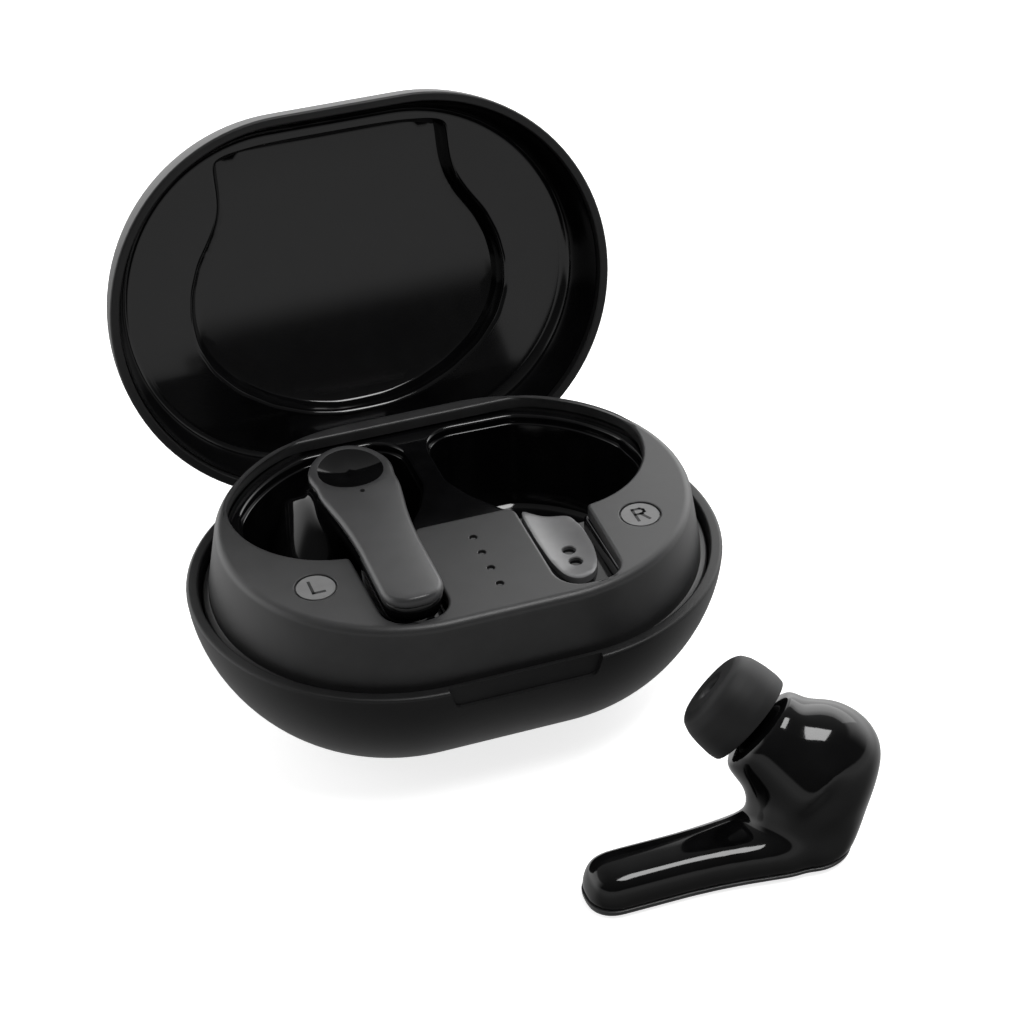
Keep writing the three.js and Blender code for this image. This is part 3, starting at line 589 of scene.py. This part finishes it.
def carrier(label, side):
    """A glossy plate with a shallow trough for the stem and two contact holes."""
    outline = np.array([
        (7.5, -1.1), (9.6, -2.9), (12.3, -3.9), (12.9, -7.0), (12.85, -10.5), (12.3, -13.4), (11.3, -15.2),
        (9.9, -15.9), (8.7, -15.7), (7.9, -14.4), (7.3, -11.5), (7.1, -7.0), (7.2, -3.0),
    ])
    outline = relaxed(resampled(outline[::-1], 0.25), 12)
    holes = [circle(SLOT["x"] + CONTACT["shift"], contact_y(k), CONTACT["hole"], 28) for k in (0, 1)]
    if side < 0:
        outline = mirrored(outline)
        holes = [mirrored(h) for h in holes]
    middle, bottom = side * 9.9, 21.2

    def trough(points):
        across = np.abs(points[:, 0] - middle) / 3.0
        along = smoothstep(points[:, 1], -15.9, -12.5)
        return 22.85 - 0.4 * (1 - across ** 2) * along

    sheet = Sheet()
    edge = offset(outline, -0.15)
    sheet.run([(outline, bottom), (outline, trough(outline) - 0.15),
               (offset(outline, -0.05), trough(outline) - 0.05), (edge, trough(edge))])
    sheet.face(edge, [offset(h, 0.1) for h in holes], trough, spacing=0.45)
    for h in holes:
        wide = offset(h, 0.1)
        sheet.run([(wide, trough(wide)), (h, trough(h) - 0.1), (h, bottom)])
    sheet.face(outline, holes, bottom)
    piece = sheet.mesh("contact_carrier_%s_skin" % label)
    return finish_piece(piece, "case", [PLATE], ["contact_carrier_" + label])


def pin(label, side, place, index):
    """A spring pin, rounded at its top, at the bottom of its hole in the contact plate."""
    disc = circle(side * (SLOT["x"] + CONTACT["shift"]), contact_y(index), CONTACT["pin"], 24)
    name = "contact_pin_%s_%s" % (label, place)
    piece = prism(name + "_skin", disc, 20.3, 21.7, 0.2)
    return finish_piece(piece, name, [DARK_METAL], [name])


# the letters' strokes, in millimetres from the middle of the mark
STROKES = {
    "left": [[(-0.55, 1.15), (-0.55, -1.0), (0.75, -1.0)]],
    "right": [[(-0.6, -1.1), (-0.6, 1.1), (0.3, 1.1), (0.65, 0.8), (0.65, 0.4), (0.3, 0.1), (-0.55, 0.1)],
              [(0.1, 0.1), (0.75, -1.1)]],
}


def side_mark(label, side):
    top = DECK["top"] - 0.05
    disc = circle(side * BADGE["x"], BADGE["y"], BADGE["radius"], 64)
    plate = prism("side_mark_%s_skin" % label, disc, DECK["top"] - BADGE["depth"] + 0.02, top, 0.06)
    finish_piece(plate, "case", [MARK], ["side_mark_" + label])
    sheet = Sheet()
    half_width, size = 0.17, 0.95
    for stroke in STROKES[label]:
        for a, b in zip(stroke, stroke[1:]):
            a, b = np.array(a) * size, np.array(b) * size
            t = (b - a) / np.hypot(*(b - a))
            n = np.array([-t[1], t[0]]) * half_width
            a, b = a - t * half_width, b + t * half_width
            centre = (side * BADGE["x"], BADGE["y"])
            outline = np.array([a - n, b - n, b + n, a + n]) + centre
            sheet.closed_run([(outline, top - 0.05), (outline, top + 0.015)])
    letter = sheet.mesh("side_letter_" + label)
    return finish_piece(letter, "case", [INK], weighted=False)


# ---- Lid ----
def dome(rim_inset, height, steps):
    profile = quarter(LID["power"], steps)
    return [(case_outline(rim_inset + LID["run"] * i), LID["rim"] + height * h) for i, h in profile]


def lid_shell():
    sheet = Sheet()
    edge = 0.35
    lip = [(case_outline(edge * (1 - math.cos(a))), LID["rim"] + edge * (1 - math.sin(a)))
           for a in np.linspace(math.pi / 2, 0, 6)]
    outside = [s for s in dome(0, LID["height"], 44) if s[1] > LID["rim"] + edge + 0.2]
    inner_lip = [(case_outline(LID["wall"] - 0.2 * (1 - math.sin(a))), LID["rim"] + 0.2 * (1 - math.cos(a)))
                 for a in np.linspace(0, math.pi / 2, 5)]
    inside_loops = [s for s in dome(LID["wall"], LID["height"] - LID["crown"], 24) if s[1] > LID["rim"] + 0.5]
    sheet.closed_run(outside[::-1] + lip[::-1] + inner_lip + inside_loops)
    shell = sheet.mesh("lid_shell_skin", on_lid())
    return finish_piece(shell, "lid", [MATTE], ["lid_shell"], angle=50)


def pocket_outline():
    """The lip of the lid's pocket, which clears the upper side of both earbuds."""
    front = LINER["lip"]
    right = np.array([
        (0, -front), (5.0, -front), (9.0, -front + 0.1), (12.8, -front + 0.5), (14.5, -front + 1.0),
        (15.1, -16.8), (15.1, -12.8), (15.4, -11.0), (16.6, -8.8), (18.6, -5.8), (19.9, -2.4), (20.4, 1.0),
        (20.1, 4.4), (18.6, 7.9), (15.8, 11.1), (11.8, 13.8), (7.4, 15.6), (3.4, 16.4), (0, 16.5),
    ])
    whole = np.concatenate([right, mirrored(right)[1:-1]])
    return relaxed(resampled(whole, 0.3), 8)


def lid_liner():
    sheet = Sheet()
    face, floor = LINER["face"], LINER["floor"]
    wall = [s for s in dome(LID["wall"] + 0.15, LID["height"] - LID["crown"] - 0.15, 60)
            if LID["rim"] + 1.1 < s[1] < face - 1.2]
    loops = list(wall)
    corner, corner_z = loops[-1]
    slope = (np.hypot(*(loops[-1][0][ARC // 2] - loops[-2][0][ARC // 2])) / (corner_z - loops[-2][1]))
    run_in = slope * (face - corner_z)
    for t in np.linspace(0, 1, 8)[1:]:
        inset = 2 * t * (1 - t) * run_in + t * t * (run_in + 0.9)
        loops.append((offset(corner, -inset), corner_z + (2 * t * (1 - t) + t * t) * (face - corner_z)))
    inner_rim = offset(corner, -run_in - 1.0)
    loops.append((inner_rim, face))
    lip = pocket_outline()
    sheet.run(loops)

    def set_in(inset):
        """The lip moved inwards, and less at the front, where a steep wall clears the seated earbuds."""
        points = eased_in(lip, inset)
        steep = 0.78 * inset * smoothstep(-points[:, 1], 8, 16)
        return np.stack([points[:, 0], points[:, 1] - steep], 1)

    soft, tilt = POCKET["soft"], POCKET["tilt"]
    pocket = [(offset(lip, 0.12), face), (lip, face)]
    for a in np.linspace(0, tilt, 6)[1:]:
        pocket.append((set_in(soft * math.sin(a)), face + soft * (1 - math.cos(a)) * 1.2))
    start_inset, start_z = soft * math.sin(tilt), pocket[-1][1]
    for k in np.linspace(0, 1, 8)[1:]:
        inset = start_inset + (POCKET["wall"] - start_inset) * (k ** 1.3)
        pocket.append((set_in(inset), start_z + (floor - 1.1 - start_z) * k))
    near, base = set_in(POCKET["near"]), set_in(POCKET["base"])

    def bowed(points):
        """The pocket's floor, deepest a little in front of its middle."""
        along = points[:, 1] + 2.5
        fall = np.where(along < 0, 0.0033, 0.0057)
        return floor + POCKET["bow"] - fall * along ** 2 - 0.0012 * points[:, 0] ** 2

    pocket += [(near, bowed(near) - 0.06), (base, bowed(base))]
    sheet.run(pocket)
    sheet.face(inner_rim, [offset(lip, 0.12)], face, spacing=2.0)
    sheet.face(base, [], bowed, spacing=0.9)
    # the hidden side: a plate over the face and the pocket's back
    hidden = [loops[0], (offset(loops[0][0], 0.1), loops[0][1] + 0.05)]
    hidden += [(offset(p, 0.1), z) for p, z in wall[1:]]
    hidden += [(offset(corner, 0.1 - run_in * 0.6), face + 0.2), (offset(corner, -run_in - 0.7), face + 0.5)]
    sheet.run(hidden)
    back_rim = offset(lip, 0.2)
    sheet.face(hidden[-1][0], [back_rim], face + 0.5)
    behind = set_in(POCKET["behind"])
    sheet.run([(back_rim, face + 0.5), (behind, bowed(behind) + POCKET["skin"])])
    sheet.face(behind, [], lambda p: bowed(p) + POCKET["skin"], spacing=2.0)
    liner = sheet.mesh("lid_liner_skin", on_lid())
    return finish_piece(liner, "lid", [GLOSS], ["lid_liner"], angle=50)


def hinge_arms():
    """A cross plate and two knuckle arms, with rounded edges."""
    y, z, r = HINGE["y"], HINGE["z"], HINGE["knuckle"]
    parts = []
    upright = Matrix(((0, 0, 1, 0), (1, 0, 0, 0), (0, 1, 0, 0), (0, 0, 0, 1)))
    for side in (-1, 1):
        x0, x1 = HINGE["split"] + 0.3, HINGE["half"]
        if side < 0:
            x0, x1 = -x1, -x0
        knuckle = circle(y, z, r, 40)
        arm = np.array([
            (y + 1.05, z + 0.2), (21.5, 18.5), (21.5, 21.7), (19.9, 21.7), (19.9, 18.5), (20.4, 16.2),
            (y - 1.1, z - 0.1),
        ])
        parts.append(prism("knuckle", knuckle, x0, x1, 0.15, upright))
        parts.append(prism("arm", relaxed(resampled(arm, 0.12), 5), x0, x1, 0.15, upright))
    plate = relaxed(resampled(np.array([(19.9, 18.3), (21.5, 18.3), (21.5, 21.8), (19.9, 21.8)]), 0.12), 5)
    parts.append(prism("plate", plate, -HINGE["half"], HINGE["half"], 0.2, upright))
    arms = join_parts("lid_hinge_arms_skin", parts)
    arms.data.transform(on_lid())
    return finish_piece(arms, "lid", [HINGE_PLASTIC], ["lid_hinge_arms"], angle=50)


def join_parts(name, parts):
    """One solid from several that overlap."""
    whole = parts[0]
    whole.name = name
    for part in parts[1:]:
        modifier = whole.modifiers.new("join", "BOOLEAN")
        modifier.operation, modifier.solver, modifier.object = "UNION", "EXACT", part
        apply_modifiers(whole)
        bpy.data.objects.remove(part)
    return whole


# ---- Earbuds ----
def bud_outline():
    """The outer face: a straight stem that widens into a round disc."""
    w, c = BUD["half"], BUD["corner"]
    flare = [(w, 6), (w, 11), (w + 0.15, 14.0), (w + 0.45, 17.0), (w + 0.85, 19.6), (w + 1.2, 22.2)]
    right = np.concatenate([
        arc(w - c, c, c, -90, 0, 16), flare, arc(0, BUD["disc_y"], BUD["disc"], -20, 90, 24),
    ])
    whole = np.concatenate([right, mirrored(right)[1:-1]])
    return relaxed(resampled(whole, 0.25), 10)


def bud_place(name):
    """From the earbud's own frame to its place in the case or in front of it."""
    if name == "left":
        tilt = Matrix.Rotation(math.radians(BUD["pitch"]), 4, "X")
        return Matrix.Translation(Vector((-SLOT["x"], BUD["tip"], BUD["face"])) * MM) @ tilt
    turn = Matrix.Rotation(math.pi, 4, Vector((1, 1, 0)).normalized())
    return Matrix.Translation(Vector((0, LOOSE_Y, 0)) * MM) @ turn


def crowned(points):
    """The outer face's height: slightly crowned across the stem."""
    return -0.22 * np.clip(np.abs(points[:, 0]) / 3.2, 0, 1.3) ** 2


def outer_shell(name):
    """The satin cover with its glossy dish and the microphone's hole."""
    sheet = Sheet()
    base, edge, bottom = bud_outline(), 0.55, -BUD["skin"]
    start = bottom + 0.15
    first, _ = sheet.run([(offset(base, -0.12), bottom), (offset(base, -0.03), bottom + 0.05), (base, start)])
    sheet.cap(first)
    rounded = [(base, start)]
    for a in np.linspace(0, math.pi / 2, 9)[1:]:
        p = offset(base, -edge * (1 - math.cos(a)))
        rounded.append((p, start + (crowned(p) - start) * math.sin(a)))
    sheet.run(rounded)
    middle = np.array([(0, BUD["disc_y"] + 0.05)])
    dish = circle(*middle[0], DISH["radius"], 64)
    ring = offset(dish, 0.15)
    mic = circle(0, 21.0, 0.32, 20)
    sheet.face(offset(base, -edge), [ring, mic], crowned, spacing=0.7)
    sheet.run([(ring, crowned(ring)), (dish, crowned(dish) - 0.06)])
    bowl = []
    for k in np.linspace(0, 1, 12)[:-1]:
        p = middle + (dish - middle) * (1 - k)
        bowl.append((p, (crowned(dish) - 0.06) * (1 - k) + k * (-0.1) - DISH["depth"] * (1 - (1 - k) ** 2)))
    _, last = sheet.run(bowl, mark=1)
    sheet.cap(last, 1)
    narrow = offset(mic, -0.05)
    sheet.run([(mic, crowned(mic)), (narrow, crowned(mic) - 0.08), (narrow, crowned(mic) - 0.5)])
    sheet.fill(narrow, crowned(mic) - 0.5)
    shell = sheet.mesh("%s_earbud_outer_skin" % name, bud_place(name))
    covers = [name + "_earbud_outer_shell"]
    return finish_piece(shell, name + "_earbud", [BUD_SATIN, BUD_GLOSS], covers, 40)


def rod(name, a, b, ra, rb, steps=48):
    """A tapered solid from a to b."""
    made = prism(name, circle(0, 0, 1, steps), 0, 1)
    axis = b - a
    turn = axis.to_track_quat("Z", "Y").to_matrix()
    for v in made.data.vertices:
        k = v.co.z / MM
        flat = Vector((v.co.x / MM, v.co.y / MM, 0)) * (ra + (rb - ra) * k)
        v.co = (a + axis * k + turn @ flat) * MM
    return made


def along_nozzle(side, distance):
    p = THROAT + LEAN * distance
    return Vector((side * p.x, p.y, p.z))


BULB = [  # level z, centre x, centre y, half-width x, half-width y
    (-1.2, 0.0, 25.8, 4.8, 5.0), (-3.2, 0.2, 26.0, 4.8, 6.0), (-5.0, 0.7, 25.9, 5.0, 6.9),
    (-7.2, 1.4, 26.6, 5.6, 7.2), (-9.4, 2.2, 27.5, 6.0, 7.1), (-11.2, 2.5, 28.0, 6.0, 6.8),
    (-13.2, 2.7, 28.0, 5.2, 5.8), (-14.9, 2.8, 27.8, 3.8, 4.2), (-15.8, 2.9, 27.6, 2.3, 2.6),
    (-16.05, 2.9, 27.6, 1.0, 1.1),
]


def bulb(side):
    """The rounded body under the disc, drawn through the levels of BULB."""
    levels = np.array(BULB)
    fine = np.linspace(0, len(levels) - 1, 40)
    z, x, y, rx, ry = [np.interp(fine, range(len(levels)), levels[:, k]) for k in range(5)]
    rings = [(circle(0, 0, 1, 64) * (rx[i], ry[i]) + (side * x[i], y[i]), z[i]) for i in range(len(z))]
    sheet = Sheet()
    sheet.closed_run(rings)
    return sheet.mesh("bulb")


def stem():
    """The inner half of the stem and disc, rounded along its far edge."""
    base = bud_outline()
    top, low, edge = 0.15 - BUD["skin"], -BUD["depth"] - 0.15, 1.9
    loops = [(offset(base, -edge * (1 - math.sin(a)) - 0.15), low + edge * (1 - math.cos(a)))
             for a in np.linspace(0, math.pi / 2, 9)]
    sheet = Sheet()
    sheet.closed_run([*loops, (offset(base, -0.06), top - 0.3), (offset(base, -0.3), top)])
    return sheet.mesh("stem")


def inner_shell(name, side):
    """Stem, bulb and the arm to the ear tip, blended into one smooth glossy body."""
    parts = [
        stem(), bulb(side),
        rod("arm", along_nozzle(side, -1.0), along_nozzle(side, 7.9), 6.8, 5.4),
        rod("tube", along_nozzle(side, 7.0), along_nozzle(side, 10.8), 2.6, 2.6),
    ]
    whole = join_parts("%s_earbud_body_skin" % name, parts)
    remesh = whole.modifiers.new("even", "REMESH")
    remesh.mode, remesh.voxel_size = "VOXEL", 0.00026
    apply_modifiers(whole)
    eased = whole.vertex_groups.new(name="eased")
    for v in whole.data.vertices:
        depth = -v.co.z / MM
        eased.add([v.index], 0.12 + 0.88 * float(smoothstep(depth, 1.6, 3.6)), "REPLACE")
    smooth = whole.modifiers.new("soften", "SMOOTH")
    smooth.factor, smooth.iterations, smooth.vertex_group = 0.5, 130, "eased"
    apply_modifiers(whole)
    whole.data.transform(bud_place(name))
    covers = [name + "_earbud_inner_shell"]
    return finish_piece(whole, name + "_earbud", [BUD_GLOSS], covers, 180, False)


TIP = [  # radius and distance along the nozzle, round the section of the ear tip
    (2.9, 8.7), (3.5, 8.7), (3.6, 12.6), (4.3, 12.4), (4.85, 11.2), (5.15, 9.8), (5.15, 8.9), (5.45, 8.75),
    (5.6, 9.9), (5.5, 11.6), (5.25, 13.0), (4.75, 14.1), (3.9, 14.6), (1.8, 14.65), (1.3, 14.3), (1.3, 11.8),
    (2.9, 11.1),
]


def ear_tip(name, side):
    """A soft tip turned about the nozzle's axis, with its skirt folded back."""
    profile = relaxed(resampled(np.array(TIP), 0.14), 6)
    axis = Vector((side * LEAN.x, LEAN.y, LEAN.z))
    turn = axis.to_track_quat("Z", "Y").to_matrix().to_4x4()
    place = Matrix.Translation(Vector((side * THROAT.x, THROAT.y, THROAT.z)) * MM) @ turn
    sheet = Sheet()
    rings = [sheet.add(circle(0, 0, r, 72), t) for r, t in profile]
    for a, b in zip(rings, rings[1:] + rings[:1]):
        sheet.band(a, b)
    tip = sheet.mesh("%s_earbud_tip_skin" % name, bud_place(name) @ place)
    return finish_piece(tip, name + "_earbud", [RUBBER], [name + "_earbud_ear_tip"], 60, False)


def bud_contacts(name):
    """The two charging pads on the inner side of the stem."""
    level = -BUD["depth"]
    for k, place in enumerate(("front", "rear")):
        disc = circle(0, CONTACT["first"] + k * CONTACT["pitch"], CONTACT["radius"], 40)
        pad = prism("%s_earbud_pad_%s" % (name, place), disc, level - 0.03, level + 0.9, 0.1, bud_place(name))
        covers = ["%s_earbud_contact_%s" % (name, place)]
        finish_piece(pad, name + "_earbud", [DARK_METAL], covers)


lower_shell()
deck()
cradle_tray()
lid_shell()
lid_liner()
hinge_arms()
for label, hand in (("left", -1), ("right", 1)):
    carrier(label, hand)
    pin(label, hand, "front", 0)
    pin(label, hand, "rear", 1)
    side_mark(label, hand)
    outer_shell(label)
    inner_shell(label, hand)
    ear_tip(label, hand)
    bud_contacts(label)

# ---- CAD nodes that stay ----
FINISHES = {
    "usb_c": STEEL, "main_board": BOARD, "battery": FOIL, "contact_board": BOARD, "light_guide": SMOKE,
    "lid_sensor": SMOKE, "status_led": SMOKE, "magnet": STEEL, "screw": STEEL, "hinge": STEEL,
    "pin": DARK_METAL, "nozzle_mesh": STEEL, "driver": STEEL, "cell": FOIL, "board": BOARD,
}
for node_name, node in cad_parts.items():
    if not node.hide_render:
        found = [m for key, m in FINISHES.items() if key in node_name]
        node.data.materials.clear()
        node.data.materials.append(found[0] if found else HINGE_PLASTIC)


# ---- Floor, light and camera ----
# the room's brightness against height, from straight down (-1) to straight up (1)
SKY_FRONT = [
    (-1, 0.06), (-0.6, 0.08), (-0.3, 0.16), (-0.08, 0.28), (0.11, 0.28), (0.17, 0.03), (0.8, 0.05), (1, 0.06),
]
SKY_BACK = [
    (-1, 0.14), (-0.6, 0.22), (-0.25, 0.42), (0, 0.9), (0.2, 1), (0.56, 0.85), (0.66, 0.16), (1, 0.08),
]
CAMERA = {"place": (-71.59, -233.83, 198.72), "turn": 0.3238, "drop": 0.6223, "roll": -0.0256, "lens": 93.67}


def studio_material(name, base, glow, roughness=0.5):
    material = bpy.data.materials.new(name)
    material.use_nodes = True
    shader = material.node_tree.nodes["Principled BSDF"]
    shader.inputs["Base Color"].default_value = (base, base, base, 1)
    shader.inputs["Roughness"].default_value = roughness
    shader.inputs["Emission Color"].default_value = (1, 1, 1, 1)
    shader.inputs["Emission Strength"].default_value = glow
    return material


def studio():
    """A pale floor and a white backdrop that light nothing and show in no reflection."""
    bpy.ops.mesh.primitive_grid_add(x_subdivisions=8, y_subdivisions=8, size=3.0)
    floor = bpy.context.object
    floor.name = "studio_floor"
    floor.data.materials.append(studio_material("studio_floor", 0.82, 0.78, 0.16))
    floor.visible_diffuse = floor.visible_glossy = False
    bpy.ops.mesh.primitive_uv_sphere_add(segments=48, ring_count=24, radius=4.0)
    backdrop = bpy.context.object
    backdrop.name = "studio_backdrop"
    backdrop.data.materials.append(studio_material("studio_white", 0, 1.0))
    backdrop.visible_diffuse = backdrop.visible_glossy = False
    backdrop.visible_transmission = backdrop.visible_shadow = backdrop.visible_volume_scatter = False


def sky_ramp(tree, stops, height, target):
    """A brightness ramp over the height's value, linked to the target socket."""
    ramp = tree.nodes.new("ShaderNodeValToRGB")
    elements = ramp.color_ramp.elements
    while len(elements) < len(stops):
        elements.new(0.5)
    for element, (z, _) in zip(elements, stops):
        element.position = (z + 1) / 2
    for element, (_, value) in zip(elements, stops):
        element.color = (value, value, value, 1)
    tree.links.new(height, ramp.inputs["Fac"])
    tree.links.new(ramp.outputs["Color"], target)


def room():
    """The world's light: dim in front of the case and overhead, bright behind it."""
    world = bpy.data.worlds.new("studio")
    bpy.context.scene.world = world
    world.use_nodes = True
    tree = world.node_tree
    where = tree.nodes.new("ShaderNodeTexCoord")
    split = tree.nodes.new("ShaderNodeSeparateXYZ")
    tree.links.new(where.outputs["Generated"], split.inputs["Vector"])
    height = tree.nodes.new("ShaderNodeMapRange")
    height.inputs["From Min"].default_value = -1
    tree.links.new(split.outputs["Z"], height.inputs["Value"])
    to_back = tree.nodes.new("ShaderNodeMapRange")
    to_back.interpolation_type = "SMOOTHSTEP"
    to_back.inputs["From Min"].default_value = -0.35
    to_back.inputs["From Max"].default_value = 0.4
    tree.links.new(split.outputs["Y"], to_back.inputs["Value"])
    blend = tree.nodes.new("ShaderNodeMix")
    blend.data_type = "RGBA"
    tree.links.new(to_back.outputs["Result"], blend.inputs["Factor"])
    first, second = [socket for socket in blend.inputs if socket.type == "RGBA"]
    sky_ramp(tree, SKY_FRONT, height.outputs["Result"], first)
    sky_ramp(tree, SKY_BACK, height.outputs["Result"], second)
    mixed = [socket for socket in blend.outputs if socket.type == "RGBA"][0]
    background = tree.nodes["Background"]
    tree.links.new(mixed, background.inputs["Color"])
    background.inputs["Strength"].default_value = 2.5


def soft_box(name, place, target, size, watts):
    data = bpy.data.lights.new(name, "AREA")
    data.shape, data.size, data.size_y, data.energy = "RECTANGLE", size[0], size[1], watts
    lamp = bpy.data.objects.new(name, data)
    bpy.context.scene.collection.objects.link(lamp)
    lamp.location = place
    lamp.rotation_euler = (Vector(target) - Vector(place)).to_track_quat("-Z", "Y").to_euler()


def camera():
    """A long lens in front of the case, on its left and above it."""
    data = bpy.data.cameras.new("camera")
    data.lens, data.sensor_width = CAMERA["lens"], 36
    data.clip_start, data.clip_end = 0.01, 20
    turn, drop, roll = CAMERA["turn"], CAMERA["drop"], CAMERA["roll"]
    forward = Vector((math.sin(turn) * math.cos(drop), math.cos(turn) * math.cos(drop), -math.sin(drop)))
    level = Vector((math.cos(turn), -math.sin(turn), 0))
    upright = level.cross(forward)
    right = math.cos(roll) * level + math.sin(roll) * upright
    up = math.cos(roll) * upright - math.sin(roll) * level
    made = bpy.data.objects.new("camera", data)
    bpy.context.scene.collection.objects.link(made)
    axes = Matrix((right, up, -forward)).transposed().to_4x4()
    made.matrix_world = Matrix.Translation(Vector(CAMERA["place"]) * MM) @ axes
    bpy.context.scene.camera = made


studio()
room()
soft_box("back_right", (0.65, 0.55, 0.5), (0, 0, 0.02), (0.7, 0.5), 2.0)
soft_box("top", (0.18, -0.16, 0.72), (0.02, -0.04, 0.0), (0.34, 0.2), 2.8)
camera()
bpy.context.scene.view_settings.view_transform = "Standard"
